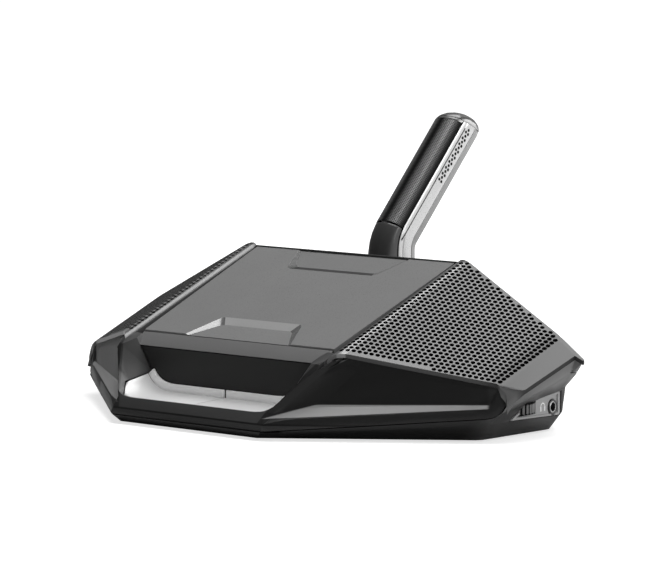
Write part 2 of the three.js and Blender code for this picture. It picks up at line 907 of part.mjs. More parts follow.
// Shallow trapezoid that opens at the plate's edge, with slanted sides
function plateRecess(halfWidth, edgeY, run) {
  const ring = (grow, drop) => {
    const reach = run + Math.sign(run) * grow;
    const points = [
      [halfWidth + grow, edgeY - Math.sign(run) * overrun],
      [halfWidth + grow, edgeY],
      [halfWidth - recessSlant + grow, edgeY + reach],
    ];
    return mirrored(points).map(([x, y]) => vector(x, y, roofZ(0, y) - drop));
  };
  return loft([ring(-recessBevel / 2, recessDepth), ring(3 * recessBevel / 2, -recessDepth)]);
}

function frontLip() {
  const backY = crownFrontY - seamGap;
  const section = [
    [lipY, lipZ],
    [backY, crownFrontZ - seamGap * tangent(crownDegrees)],
    [backY, crownFrontZ - lipThickness],
    [lipY + lipThickness, lipZ],
  ];
  const bar = sidePrism(section, -plateHalfBack, plateHalfBack);
  return common(bar, mouthOpening(-seamGap));
}

function mouthBackPanel() {
  const sides = mouthRing(mouthBackY, -seamGap);
  const flat = sides.map((point) => [point.x, point.z]);
  const front = mouthBackY + restGap;
  const panel = frontPrism(flat, front, front + backPanelThickness);
  const below = frontPrism(
    mirrored([
      [plateHalfBack, seamFrontZ],
      [plateHalfBack, lipZ - restGap],
    ]),
    front - overrun,
    frameBackY,
  );
  return common(panel, below);
}

function lightBar() {
  const low = mouthCurve(mouthBackY, keyThickness / 2);
  const high = mouthCurve(mouthBackY, -lightBarHeight);
  const outline = [...low, ...high.slice().reverse()].map(([x, z]) => [Math.max(x, lightBarSplit / 2), z]);
  const back = mouthBackY;
  return common(
    frontPrism(outline, back - lightBarDepth, back),
    mouthOpening(keyThickness),
  );
}

function talkButton() {
  const drop = keyClearance / 2;
  const ring = (y) => {
    const top = mouthCurve(y, drop);
    const low = mouthCurve(y, drop + keyThickness);
    const section = [...top, ...low.slice().reverse()].map(([x, z]) => [Math.max(x, keySplit / 2), z]);
    return section.map(([x, z]) => vector(x, y, z));
  };
  const rear = mouthBackY - lightBarDepth - restGap;
  const tray = loft([ring(keyFrontY), ring(rear)], inFront);
  const floorZ = mouthCurve(stemY)[0][1] - keyThickness;
  const stem = planPrism(squareAt(stemX, stemY, stemSize), stemFootZ(), floorZ);
  const [endX, endZ] = mouthCurve(keyEndY).at(-1);
  const lean = [
    [keyFrontY - overrun, sillTopZ],
    [keyFrontY, sillTopZ],
    [keyEndY, endZ],
    [mouthBackY, endZ + (mouthBackY - keyEndY)],
    [keyFrontY - overrun, endZ + (mouthBackY - keyEndY)],
  ];
  const shaped = cut(joined(tray, stem), sidePrism(lean, 0, endX + overrun));
  return shaped.intersect(keyPlan(0));
}

const boardBottomZ = floorThickness + restGap;
const boardTopZ = boardBottomZ + boardThickness;
const switchTopZ = boardTopZ + restGap + switchHeight;

function stemFootZ() {
  return switchTopZ + keyTravel + restGap / 2;
}

function squareAt(x, y, size) {
  const half = size / 2;
  return [
    [x - half, y - half],
    [x + half, y - half],
    [x + half, y + half],
    [x - half, y + half],
  ];
}

function buttonSwitch() {
  const square = squareAt(stemX, stemY, switchSize);
  const body = planPrism(square, boardTopZ + restGap, switchTopZ - switchHeight / 3);
  const cap = disc(stemSize / 2, switchHeight, smallDiscSteps);
  cap.translate(stemX, stemY, switchTopZ - switchHeight / 2);
  return joined(body, solid(cap));
}

// Plan outline of a grille, clockwise from its inner front corner
function grilleOutline() {
  const innerFrontY = ribbonTopY + (grilleFrontY - ribbonTopY) / 2;
  const earY = crownBackY - earSetback;
  return [
    [grilleInnerX, innerFrontY],
    [grilleFrontX, grilleFrontY],
    [grilleEndX, grilleEndY],
    [sideFrontX, sideFrontY],
    [sideBackX, earY - earLength],
    [earX, earY - earLength / 2],
    [earX, earY],
    [crestX, crownBackY],
    [grilleInnerX, crownBackY],
  ];
}

function grilleSection(thickness, drop) {
  const upper = [
    [grilleInnerX, -crestRise / 2],
    [grilleInnerX + crestRise / 2, crestRise / 2],
    [crestX - 2 * crestRise, crestRise],
    [crestX, crestRise],
    [bendX, facetRise(bendX)],
    [earX + overrun, facetRise(earX + overrun)],
  ].map(([x, rise]) => [x, rise - drop]);
  const lower = upper.slice(1).map(([x, rise]) => [x, rise - thickness]);
  return [...upper, ...lower.reverse()];
}

function grille() {
  const roll = [
    [grilleInnerX, -crestRise / 2 - rollFlange],
    [grilleInnerX, -crestRise / 2],
    [grilleInnerX + crestRise / 2, crestRise / 2],
    [grilleInnerX + sheetThickness, -crestRise / 2 - rollFlange],
  ];
  const sheet = common(
    joined(
      slopedPrism(grilleSection(sheetThickness, 0), mouthFrontY, crownBackY),
      slopedPrism(roll, crownFrontY + overrun, crownBackY - crownWallDepth - restGap),
    ),
    planPrism(grilleOutline(), -overrun, 3 * crownFrontZ),
  );
  return joined(sheet.subtract(wasm.Manifold.union(perforation())), lappet(0, sheetThickness));
}

// Front corner of the strip, which drops round the rim's end, from a rise above its upper face
// to a depth below it
function lappet(rise, depth, gap = 0) {
  const corners = [
    [grilleEndX, grilleEndY, 0],
    [tipX - tipTurn, tipY, tipDrop / 2],
    [tipX, tipY, tipDrop],
    [sideFrontX, sideFrontY, 0],
    [bendX, sideFrontY, 0],
  ];
  const turns = [
    [gap, 0],
    [-gap, 0],
    [0, gap],
    [0, -gap],
  ];
  const points = corners.flatMap(([x, y, drop]) => {
    const z = roofZ(x, y) - drop;
    return turns.flatMap(([dx, dy]) => [[x + dx, y + dy, z + rise], [x + dx, y + dy, z - depth]]);
  });
  return wasm.Manifold.hull(points);
}

function lappetRoom() {
  const room = lappet(overrun, sheetThickness + restGap, seamGap);
  return [room, mirrorX(room)];
}

// Staggered holes, square to the facet, inside the margins of the perforated field
function perforation() {
  const field = inset(grilleField(), holeMargin + holeRadius).map(([x, y]) => new THREE.Vector2(x, y));
  const normal = vector(tangent(facetDegrees), -tangent(crownDegrees), 1).normalize();
  const turn = new THREE.Quaternion().setFromUnitVectors(vector(0, 0, 1), normal);
  const tool = disc(holeRadius, 4 * sheetThickness, holeSides).applyQuaternion(turn);
  const holes = [];
  const columns = Math.floor((bendX - crestX) / holePitchX);
  const rows = Math.floor((crownBackY - grilleFrontY) / holePitchY);
  for (let i = 0; i <= columns; i += 1) {
    for (let j = 0; j <= rows; j += 1) {
      const x = crestX + holeMargin + i * holePitchX;
      const y = crownBackY - rearMargin - (j + (i % 2) / 2) * holePitchY;
      if (insideOutline(field, x, y)) {
        holes.push(solid(tool.clone().translate(x, y, roofZ(x, y) - sheetThickness / 2)));
      }
    }
  }
  return holes;
}

function grilleField() {
  return [
    [crestX - holeRadius, grilleFrontY],
    [bendX + holeRadius, grilleEndY],
    [bendX + holeRadius, crownBackY],
    [crestX - holeRadius, crownBackY],
  ];
}

function insideOutline(outline, x, y) {
  let inside = false;
  outline.forEach((a, i) => {
    const b = outline[(i + 1) % outline.length];
    if (a.y > y !== b.y > y && x < ((b.x - a.x) * (y - a.y)) / (b.y - a.y) + a.x) {
      inside = !inside;
    }
  });
  return inside;
}

function acousticCloth() {
  const drop = sheetThickness + restGap;
  const section = [
    [crestX, crestRise - drop],
    [bendX, facetRise(bendX) - drop],
    [bendX, facetRise(bendX) - drop - clothThickness],
    [crestX, crestRise - drop - clothThickness],
  ];
  const outline = inset(grilleField(), clothInset);
  return common(
    slopedPrism(section, grilleFrontY, crownBackY),
    planPrism(outline, -overrun, 3 * crownFrontZ),
  );
}

const chassisDrop = sheetThickness + clothThickness + 2 * restGap;

// Speaker seat: the frame whose third axis leaves the grille facet square
function speakerFrameAt(depth) {
  const normal = vector(tangent(facetDegrees), -tangent(crownDegrees), 1).normalize();
  const seat = vector(speakerX, speakerY, roofZ(speakerX, speakerY));
  seat.z -= chassisDrop + chassisThickness + restGap / 2;
  seat.addScaledVector(normal, -depth);
  const turn = new THREE.Quaternion().setFromUnitVectors(vector(0, 0, 1), normal);
  return { seat, turn };
}

function atSpeaker(geometry) {
  const { seat, turn } = speakerFrameAt(restGap);
  return geometry.applyQuaternion(turn).translate(seat.x, seat.y, seat.z);
}

function upperChassis() {
  const plateDrop = plateThickness + restGap;
  const flangeDrop = crestRise / 2 + rollFlange + restGap;
  const grooveX = grilleInnerX - restGap;
  const slopeX = grilleInnerX + sheetThickness + restGap;
  const depth = chassisThickness;
  const section = mirrored([
    [grooveX, -plateDrop],
    [grooveX, -flangeDrop],
    [slopeX, -flangeDrop],
    [crestX, crestRise - chassisDrop],
    [bendX, facetRise(bendX) - chassisDrop],
    [bendX, facetRise(bendX) - chassisDrop - depth],
    [crestX + depth, facetRise(crestX + depth) - chassisDrop - depth],
    [slopeX + depth / 2, -flangeDrop - depth],
    [grooveX - depth, -flangeDrop - depth],
    [grooveX - depth, -plateDrop - depth],
  ]);
  const slab = slopedPrism(section, chassisFrontY, crownBackY);
  const aperture = solid(atSpeaker(disc(apertureRadius, 4 * overrun)));
  return cut(common(slab, planPrism(chassisPlan(), 0, 3 * crownFrontZ)), aperture, mirrorX(aperture));
}

// Plan of the chassis, clear of the front frame and of the rear cover's wall
function chassisPlan() {
  const clear = frameDepth + restGap;
  const corner = (share) => grilleEdge(share).addScaledVector(outward, -clear);
  const near = corner(0);
  const far = corner(1);
  return mirrored([
    [plateHalfFront, chassisFrontY],
    [near.x, near.y],
    [far.x, far.y],
    [bendX - wall, far.y + wall],
    [bendX - wall, crownBackY - crownWallDepth - restGap],
  ]);
}

function speakerFrame() {
  const points = [
    [apertureRadius, -speakerFlange],
    [apertureRadius, 0],
    [speakerRadius, 0],
    [speakerRadius, -speakerFlange],
    [magnetRadius + basketWall, -speakerDepth],
    [0, -speakerDepth],
    [0, -speakerDepth + basketWall],
    [magnetRadius, -speakerDepth + basketWall],
    [apertureRadius, -speakerFlange],
  ];
  return solid(atSpeaker(revolved(points)));
}

function speakerCone() {
  const rim = apertureRadius - coneClearance;
  const low = -speakerDepth + basketWall + coneClearance + coneThickness;
  const points = [
    [0, low + coneThickness],
    [rim / 3, low + coneThickness],
    [rim, -speakerFlange],
    [rim, -speakerFlange + coneThickness],
    [rim - coneThickness, -speakerFlange + coneThickness],
    [rim / 3, low + 2 * coneThickness],
    [0, low + 3 * coneThickness],
  ];
  return solid(atSpeaker(revolved(points)));
}

function speakerMagnet() {
  const middle = -speakerDepth - restGap - magnetHeight / 2;
  return solid(atSpeaker(disc(magnetRadius, magnetHeight).translate(0, 0, middle)));
}

function revolved(points, steps = discSteps) {
  const profile = points.map(([r, z]) => new THREE.Vector2(r, z));
  return new THREE.LatheGeometry(profile, steps).rotateX(Math.PI / 2);
}

function baseHousing() {
  const zones = [frontZone(seamGap), coverZone(), rearCoverZone(0), ...behindCrown(), ...lappetRoom()];
  const shell = cut(joined(cut(housingForm(), housingHollow(wall)), ...earRoots()), ...zones);
  const holes = [...pocketCutters(), portOpening(), ...padSeats(), ...screwHoles()];
  return cut(joined(shell, ...boardPosts()), ...holes);
}

// Space above the grilles' and centre plate's underside
function coverZone() {
  const all = mirrored([
    [earX + overrun, mouthFrontY - overrun],
    [earX + overrun, crownBackY],
  ]);
  const above = planPrism(all, 0, 4 * crownFrontZ);
  return above.subtract(underRoof(sheetThickness + restGap, crownBackY + overrun));
}

// Space of the rear cover: behind the crown, above the split
function rearCoverZone(gap) {
  const front = crownBackY - crownWallDepth - seamGap + gap;
  const outline = mirrored([
    [bendX, front],
    [earX + overrun, front + earRootLength],
    [earX + overrun, rearY + overrun],
  ]);
  return planPrism(outline, coverSplitZ + gap, 4 * crownFrontZ);
}

// Solid roots of the ears, in front of the rear cover's slanted corners
function earRoots() {
  const front = crownBackY - crownWallDepth - seamGap - wall;
  const block = [
    [bendX, front],
    [earX + overrun, front],
    [earX + overrun, front + wall + earRootLength],
    [bendX, front + wall + earRootLength],
  ];
  const root = common(housingForm(), planPrism(block, coverSplitZ - wall, 4 * crownFrontZ));
  return [root, mirrorX(root)];
}

// Space behind the crown's rear edge where that edge runs forward, above the deck's plane
function behindCrown() {
  const outline = [
    [crestX, crownBackY],
    [earX, crownBackY - earSetback],
    [earX + overrun, crownBackY - earSetback],
    [earX + overrun, crownBackY + overrun],
    [crestX, crownBackY + overrun],
  ];
  const behind = planPrism(outline, 0, 4 * crownFrontZ);
  const above = behind.subtract(underDeck(0, crownBackY - 2 * earSetback));
  return [above, mirrorX(above)];
}

// Deck, rear wall and the bulkhead that closes the step under the crown's rear edge
function rearCover() {
  const whole = common(housingForm(), rearCoverZone(seamGap));
  const hollow = common(housingHollow(wall), underDeck(deckThickness));
  const collar = planPrism(collarOutline(restGap), 0, 4 * crownFrontZ);
  return cut(whole, hollow, coverZone(), ...behindCrown(), plateSeat(), collar);
}

// Control pocket in the side wall, below the band
function pocketOutline(grow, endV = pocketEndV) {
  const corners = [
    [pocketTipV, pocketTipZ],
    [endV - pocketEndZ / 4, pocketEndZ],
    [endV, pocketEndZ + pocketEndZ / 6],
    [endV, pocketTopZ],
    [pocketMidV, pocketMidZ],
    [pocketRiseV, pocketRiseZ],
  ];
  return inset(corners, -grow);
}

function pocketCutters() {
  const opening = framedPrism(pocketOutline(0), -wall - panelFlange, overrun, sideFrame);
  const cutter = joined(opening, wheelRoom());
  return [cutter, mirrorX(cutter)];
}

// Flange behind the housing's wall, with a face and its rim that fill the opening
function controlPanel() {
  const board = framedPrism(pocketOutline(panelFlange), -panelBack, -panelFront, sideFrame);
  const plate = common(board, housingHollow(panelFront));
  const filling = framedPrism(pocketOutline(-restGap), -panelFront - restGap, -restGap, sideFrame);
  const face = pocketOutline(-restGap - linerThickness, faceEndV + restGap + linerThickness);
  const room = framedPrism(face, -faceDepth, overrun, sideFrame);
  const bore = atSide(disc(jackRadius + restGap, 4 * overrun, smallDiscSteps), jackV, jackZ, panelFront);
  return cut(joined(plate, filling), room, wheelRoom(), solid(bore));
}

const panelFront = wall + restGap;
const panelBack = panelFront + panelThickness;

function atSide(geometry, v, height, depth) {
  return geometry.translate(v, height, -depth).applyMatrix4(sideFrame);
}

function headphoneJack() {
  const barrel = disc(jackRadius, jackLength, smallDiscSteps).translate(0, 0, -jackLength / 2);
  const body = new THREE.BoxGeometry(jackBodySize, jackBodySize, jackBodyLength);
  body.translate(0, 0, faceDepth - jackProud - panelBack - restGap - jackBodyLength / 2);
  const bore = disc(jackBoreRadius, jackLength, smallDiscSteps).translate(0, 0, -jackLength / 2 + wall);
  const place = (geometry) => solid(atSide(geometry, jackV, jackZ, faceDepth - jackProud));
  return cut(joined(place(barrel), place(body)), place(bore));
}

function wheelCentre() {
  return onSide(wheelV, wheelZ, wheelRadius - wheelProud);
}

// Space the wheel turns in
function wheelRoom() {
  const form = disc(wheelRadius + wheelClearance, wheelWidth + 2 * wheelClearance);
  const centre = wheelCentre();
  return solid(form.translate(centre.x, centre.y, centre.z));
}

function volumeWheel() {
  const outline = [];
  for (let i = 0; i < 2 * wheelRibs; i += 1) {
    const angle = (i / wheelRibs) * Math.PI;
    const radius = i % 2 === 0 ? wheelRadius : wheelRadius - wheelRibDepth;
    outline.push([radius * Math.cos(angle), radius * Math.sin(angle)]);
  }
  const body = planPrism(outline, -wheelWidth / 2, wheelWidth / 2);
  return cut(body, solid(disc(shaftRadius + shaftClearance, 2 * wheelWidth, smallDiscSteps)));
}

function volumePotentiometer() {
  const topZ = -wheelWidth / 2 - restGap;
  const body = disc(potRadius, potHeight, smallDiscSteps).translate(0, 0, topZ - potHeight / 2);
  const shaftTop = wheelWidth / 2;
  const shaft = disc(shaftRadius, shaftTop - topZ + potHeight / 2, smallDiscSteps);
  shaft.translate(0, 0, (shaftTop + topZ - potHeight / 2) / 2);
  return joined(solid(body), solid(shaft));
}

// Board and the posts that carry it
function postPlaces() {
  return [
    [postX, postFrontY],
    [-postX, postFrontY],
    [postX, postBackY],
    [-postX, postBackY],
  ];
}

function boardPosts() {
  const height = boardBottomZ - restGap - floorThickness / 2;
  const middleZ = (floorThickness + height) / 2;
  return postPlaces().map(([x, y]) => {
    return solid(disc(2 * postRadius, height, smallDiscSteps).translate(x, y, middleZ));
  });
}

function screwHoles() {
  return postPlaces().map(([x, y]) => solid(screwForm(restGap).translate(x, y, 0)));
}

function screwForm(gap) {
  const head = screwHeadHeight + gap;
  const points = [
    [0, -gap],
    [screwHeadRadius + gap, -gap],
    [screwHeadRadius + gap, head],
    [screwShankRadius + gap, head],
    [screwShankRadius + gap, screwLength],
    [0, screwLength],
  ];
  return revolved(points, smallDiscSteps);
}

function screw() {
  return solid(screwForm(0));
}

function mainBoard() {
  const plate = planPrism(boardOutline(), boardBottomZ, boardTopZ);
  const tool = disc(screwShankRadius + restGap, 4 * boardThickness, smallDiscSteps);
  const holes = postPlaces().map(([x, y]) => solid(tool.clone().translate(x, y, boardTopZ)));
  return cut(plate, ...holes);
}

// Two cable sockets side by side in the rear wall's port
const socketBottomZ = boardTopZ + restGap;
const socketBackY = rearY - portRecess;

function networkSocket() {
  const x = socketPitch / 2;
  const half = socketWidth / 2;
  const body = frontPrism(
    [
      [x - half, socketBottomZ],
      [x + half, socketBottomZ],
      [x + half, socketBottomZ + socketHeight],
      [x - half, socketBottomZ + socketHeight],
    ],
    socketBackY - socketLength,
    socketBackY,
  );
  const mouthHalf = socketMouthWidth / 2;
  const latch = mouthHalf / 2;
  const low = socketBottomZ + socketWall;
  const high = low + socketMouthHeight;
  const key = high + socketWall;
  const mouth = [
    [x - mouthHalf, low],
    [x + mouthHalf, low],
    [x + mouthHalf, high],
    [x + latch, high],
    [x + latch, key],
    [x - latch, key],
    [x - latch, high],
    [x - mouthHalf, high],
  ];
  return cut(body, frontPrism(mouth, socketBackY - socketMouthDepth, socketBackY + overrun));
}

function portOpening() {
  const half = socketPitch / 2 + socketWidth / 2 + portMargin;
  const outline = mirrored([
    [half, socketBottomZ - restGap],
    [half, socketBottomZ + socketHeight + portMargin],
  ]);
  return frontPrism(outline, rearY - 2 * overrun, rearY + overrun);
}

function padPlaces() {
  return [
    [footPadFrontX, footPadFrontY],
    [-footPadFrontX, footPadFrontY],
    [footPadX, footPadBackY],
    [-footPadX, footPadBackY],
  ];
}

function padSeats() {
  const depth = footPadHeight - footPadProud + restGap;
  return padPlaces().map(([x, y]) => {
    return solid(disc(footPadRadius + restGap, 2 * depth, discSteps).translate(x, y, 0));
  });
}

function footPad() {
  return solid(disc(footPadRadius, footPadHeight).translate(0, 0, footPadHeight / 2 - footPadProud));
}

// Socket collar on the rear deck
function collarOutline(grow) {
  const half = collarHalfWidth + grow;
  const front = micY - collarFront - grow;
  const back = micY + collarBack + grow;
  return mirrored([
    [half - collarCorner, front],
    [half, front + collarCorner],
    [half, back - collarCorner],
    [half - collarCorner, back],
  ]);
}

function plugOutline(grow) {
  const middle = micY + (micDepth - micBulge) / 2;
  const half = plugDepth / 2 + grow;
  return mirrored([
    [plugHalfWidth + grow, middle - half],
    [plugHalfWidth + grow, middle + half],
  ]);
}

function micSocket() {
  const top = micFootZ - restGap;
  const collar = planPrism(collarOutline(0), collarBottomZ, top);
  const depth = plugLength + contactHeight + 2 * restGap;
  const bore = planPrism(plugOutline(keyClearance), top - depth, top + overrun);
  return cut(collar, bore);
}

function socketContacts() {
  const low = micFootZ - restGap - plugLength - contactHeight - restGap;
  return planPrism(plugOutline(0), low, low + contactHeight);
}

// Centre path of the microphone: up, round the bend, and back at the lean
function micStation(distance) {
  const tangentRun = micBendRadius * tangent(micLeanDegrees / 2);
  const upright = micBendZ - tangentRun - micFootZ;
  const bend = (micBendRadius * Math.PI * micLeanDegrees) / 180;
  const angle = THREE.MathUtils.clamp((distance - upright) / bend, 0, 1) * micLeanDegrees;
  const y = micY + micBendRadius * (1 - cosine(angle));
  const z = micFootZ + Math.min(distance, upright) + micBendRadius * sine(angle);
  const beyond = Math.max(distance - upright - bend, 0);
  const origin = vector(0, y + beyond * sine(micLeanDegrees), z + beyond * cosine(micLeanDegrees));
  return { origin, back: vector(0, cosine(angle), -sine(angle)) };
}

// Distance along the path of a length measured from the bend's corner
function micDistance(length) {
  const tangentRun = micBendRadius * tangent(micLeanDegrees / 2);
  const upright = micBendZ - tangentRun - micFootZ;
  const bend = (micBendRadius * Math.PI * micLeanDegrees) / 180;
  return upright + bend + length - tangentRun;
}

function micStops(from, to) {
  const bendEnd = micDistance(micBendRadius * tangent(micLeanDegrees / 2));
  const bendStart = bendEnd - (micBendRadius * Math.PI * micLeanDegrees) / 180;
  const bendStops = [0, 1, 2, 3, 4].map((i) => lerp(bendStart, bendEnd, i / 4));
  return [from, ...bendStops.filter((stop) => stop > from && stop < to), to];
}

// Skin along the microphone: a section in width and depth at each stop. From a stop on, the rings
// run on with depth by the end's slope.
function micLoft(sections, stops, slopedFrom = Infinity) {
  const onward = vector(0, sine(micLeanDegrees), cosine(micLeanDegrees));
  const rings = stops.map((stop, i) => {
    const { origin, back } = micStation(stop);
    const section = typeof sections === "function" ? sections(stop, i) : sections;
    const slope = stop < slopedFrom ? 0 : micEndSlope;
    return section.map(([x, depth]) => {
      const place = vector(x, 0, 0).add(origin).addScaledVector(back, depth);
      return place.addScaledVector(onward, slope * depth);
    });
  });
  return loft(rings, (point) => new THREE.Vector2(point.x, point.y - point.z));
}

// A section shrunk to a share of its size about a depth
function shrunk(section, share, middle) {
  return section.map(([x, depth]) => [x * share, middle + (depth - middle) * share]);
}

// Domed end of the microphone: its foot, the seam between frame and cap, and its sections
const domeFoot = micDistance(micLength - capRound);
const seamStop = domeFoot + capSeamRise;
const domeSteps = [1, 2, 3, 4, 5, 6];

function domed(section) {
  return (stop) => {
    const rise = THREE.MathUtils.clamp((stop - domeFoot) / capRound, 0, 1);
    return shrunk(section, lerp(capEndShare, 1, Math.sqrt(1 - rise * rise)), capMiddle);
  };
}

function frontArc(half, bulge, steps = 8) {
  const points = [];
  for (let i = 0; i <= steps; i += 1) {
    const angle = (i / steps) * Math.PI;
    points.push([half * Math.cos(angle), -bulge * Math.sin(angle)]);
  }
  return points;
}

function frameSection() {
  const outer = [
    [micFrontHalf + restGap, restGap],
    [micHalfWidth, micGrooveAt - micGrooveDepth],
    [micHalfWidth - micGrooveDepth, micGrooveAt],
    [micHalfWidth, micGrooveAt + micGrooveDepth],
    [micHalfWidth, micSideEnd],
  ];
  const innerHalf = micHalfWidth - micGrooveDepth - micFrameWall;
  const web = micSideEnd - micFrameWall;
  const inner = [
    [innerHalf, web],
    [innerHalf, micGrooveAt],
    [micFrontHalf + restGap - micGrooveDepth, 2 * restGap],
  ];
  const left = [...outer].reverse().map(([x, p]) => [-x, p]);
  const leftInner = [...inner].map(([x, p]) => [-x, p]);
  return [...outer, ...left, ...leftInner.reverse(), ...inner];
}

function micFrame() {
  const body = micLoft(domed(frameSection()), [...micStops(0, domeFoot), seamStop], domeFoot);
  return body.subtract(wasm.Manifold.union(vents()));
}

// Staggered sound vents through both sides of the frame
function vents() {
  const tools = [];
  for (const row of [-1, 0, 1]) {
    for (let i = 0; i < ventCount; i += 1) {
      const step = i + Math.abs(row) / 2;
      const { origin, back } = micStation(micDistance(ventEnd - step * ventPitch));
      const place = origin.clone().addScaledVector(back, ventAt + row * ventRowGap);
      const hole = new THREE.CylinderGeometry(ventRadius, ventRadius, 4 * micHalfWidth, ventSides);
      hole.rotateZ(Math.PI / 2).translate(place.x, place.y, place.z);
      tools.push(solid(hole));
    }
  }
  return tools;
}

function micMesh() {
  const innerHalf = micFrontHalf - micShellThickness;
  const inner = frontArc(innerHalf, micBulge - micShellThickness).reverse();
  const skirt = [
    [innerHalf + micShellThickness / 3, restGap / 3],
    [innerHalf + micShellThickness / 3, meshSkirt],
    [innerHalf, meshSkirt],
  ];
  const leftSkirt = skirt.map(([x, depth]) => [-x, depth]);
  const section = [...frontArc(micFrontHalf, micBulge), ...leftSkirt, ...inner, ...skirt.reverse()];
  const end = micDistance(meshEnd);
  return micLoft(section, micStops(micDistance(meshStart), end), end);
}

// Section of a body that fills the frame behind the front face
function filledSection(bulge = micBulge) {
  const half = micHalfWidth - micGrooveDepth - micFrameWall - restGap;
  const back = micSideEnd - micFrameWall - restGap;
  const behind = [
    [-half, restGap],
    [-half, back],
    [half, back],
    [half, restGap],
  ];
  return [...frontArc(micFrontHalf, bulge), ...behind];
}

function micNeck() {
  const end = micDistance(meshStart) - restGap;
  return micLoft((stop) => filledSection(lerp(neckBulge, micBulge, stop / end)), micStops(0, end));
}

function micRearShell() {
  const front = micSideEnd + restGap;
  const right = [
    [micHalfWidth, front],
    [micHalfWidth, front + restGap],
    [micRearHalf, micDepth - restGap],
    [micRearHalf - restGap, micDepth],
  ];
  return micLoft(domed(mirrored(right)), [...micStops(0, domeFoot), seamStop], domeFoot);
}

function micEndCap() {
  const start = micDistance(meshEnd) + restGap;
  const plain = micLoft(domed(filledSection()), [start, seamStop], start);
  const rear = [
    [-micHalfWidth, micGrooveAt],
    [-micHalfWidth, micSideEnd],
    [-micRearHalf, micDepth],
    [micRearHalf, micDepth],
    [micHalfWidth, micSideEnd],
    [micHalfWidth, micGrooveAt],
  ];
  const dome = [...frontArc(micFrontHalf, micBulge), ...rear];
  const lidStart = seamStop + restGap;
  const arcs = domeSteps.map((step) => domeFoot + capRound * sine((90 * step) / domeSteps.length));
  const stops = [lidStart, ...arcs.filter((stop) => stop > lidStart + restGap)];
  const lid = micLoft(domed(dome), stops, domeFoot);
  const core = shrunk(filledSection(), 1 / 2, 0);
  const neck = micLoft(core, [start, stops[1]], domeFoot);
  return joined(plain, lid, neck);
}

function capsule(length) {
  const { origin, back } = micStation(micDistance(length));
  const turn = new THREE.Quaternion().setFromUnitVectors(vector(0, 0, 1), back);
  const geometry = disc(capsuleRadius, capsuleDepth, smallDiscSteps).applyQuaternion(turn);
  const place = origin.addScaledVector(back, restGap + capsuleDepth / 2);
  return solid(geometry.translate(place.x, place.y, place.z));
}

function micBoard() {
  const front = 2 * restGap + capsuleDepth;
  const section = mirrored([
    [micBoardHalf, front],
    [micBoardHalf, front + micBoardThickness],
  ]);
  const from = micDistance(meshStart) + restGap;
  return micLoft(section, [from, micDistance(meshEnd) - restGap]);
}

function micPlug() {
  return planPrism(plugOutline(0), micFootZ - restGap - plugLength, micFootZ - restGap);
}

// Assembly
const unit = new THREE.Group();

function addPiece(parent, name, shape, look, place = vector(0, 0, 0)) {
  const mesh = new THREE.Mesh(geometryOf(shape), new THREE.MeshStandardMaterial(finishes[look]));
  mesh.name = name;
  mesh.position.copy(place);
  parent.add(mesh);
  return mesh;
}

addPiece(unit, "base_housing", baseHousing(), "housing");
addPiece(unit, "front_frame", frontFrame(), "frame");
addPiece(unit, "top_plate", topPlate(), "plate");
addPiece(unit, "front_lip", frontLip(), "plate");
addPiece(unit, "mouth_back_panel", mouthBackPanel(), "black");
addPiece(unit, "upper_chassis", upperChassis(), "black");
addPiece(unit, "rear_cover", rearCover(), "housing");
addPiece(unit, "main_board", mainBoard(), "board");
addPiece(unit, "mic_socket", micSocket(), "black");
addPiece(unit, "socket_contacts", socketContacts(), "metal");

// Pieces that both sides have: the left half is the right half mirrored
const sidePieces = [
  ["grille", grille(), "grille"],
  ["acoustic_cloth", acousticCloth(), "black"],
  ["light_bar", lightBar(), "light"],
  ["talk_button", talkButton(), "key"],
  ["button_switch", buttonSwitch(), "metal"],
  ["control_panel", controlPanel(), "pocket"],
  ["headphone_jack", headphoneJack(), "metal"],
  ["volume_wheel", volumeWheel(), "rubber", wheelCentre()],
  ["volume_potentiometer", volumePotentiometer(), "metal", wheelCentre()],
  ["speaker_frame", speakerFrame(), "black"],
  ["speaker_cone", speakerCone(), "black"],
  ["speaker_magnet", speakerMagnet(), "metal"],
  ["network_socket", networkSocket(), "black"],
];
for (const [side, sign] of [["right", 1], ["left", -1]]) {
  const half = new THREE.Group();
  half.scale.x = sign;
  for (const [name, shape, look, place] of sidePieces) {
    addPiece(half, `${name}_${side}`, shape, look, place);
  }
  unit.add(half);
}

const cornerNames = ["front_right", "front_left", "rear_right", "rear_left"];
cornerNames.forEach((corner, i) => {
  const [padX, padY] = padPlaces()[i];
  const [screwX, screwY] = postPlaces()[i];
  addPiece(unit, `rubber_foot_${corner}`, footPad(), "rubber", vector(padX, padY, 0));
  addPiece(unit, `housing_screw_${corner}`, screw(), "metal", vector(screwX, screwY, 0));
});

const microphone = new THREE.Group();
addPiece(microphone, "mic_plug", micPlug(), "metal");
addPiece(microphone, "mic_neck", micNeck(), "black");
addPiece(microphone, "mic_frame", micFrame(), "silver");
addPiece(microphone, "mic_mesh", micMesh(), "black");
addPiece(microphone, "mic_rear_shell", micRearShell(), "shell");
addPiece(microphone, "mic_end_cap", micEndCap(), "gloss");
addPiece(microphone, "mic_board", micBoard(), "board");
addPiece(microphone, "mic_capsule_lower", capsule(capsuleAt - capsulePitch), "metal");
addPiece(microphone, "mic_capsule_upper", capsule(capsuleAt), "metal");
unit.add(microphone);

// The origin is the middle of the underside of the box round the whole unit
const bounds = new THREE.Box3().setFromObject(unit);
const middle = bounds.getCenter(vector(0, 0, 0));
unit.position.set(-middle.x, -middle.y, -bounds.min.z);

export default unit;
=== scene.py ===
# Conference delegate unit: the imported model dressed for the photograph.
# Lengths are millimetres in the drawing's own frame, X to the user's right, Y away and Z up,
# and at() brings them to metres in the model's frame. Levels are display greys, 0 to 255.
import math

import bmesh
import bpy
from mathutils import Matrix, Vector


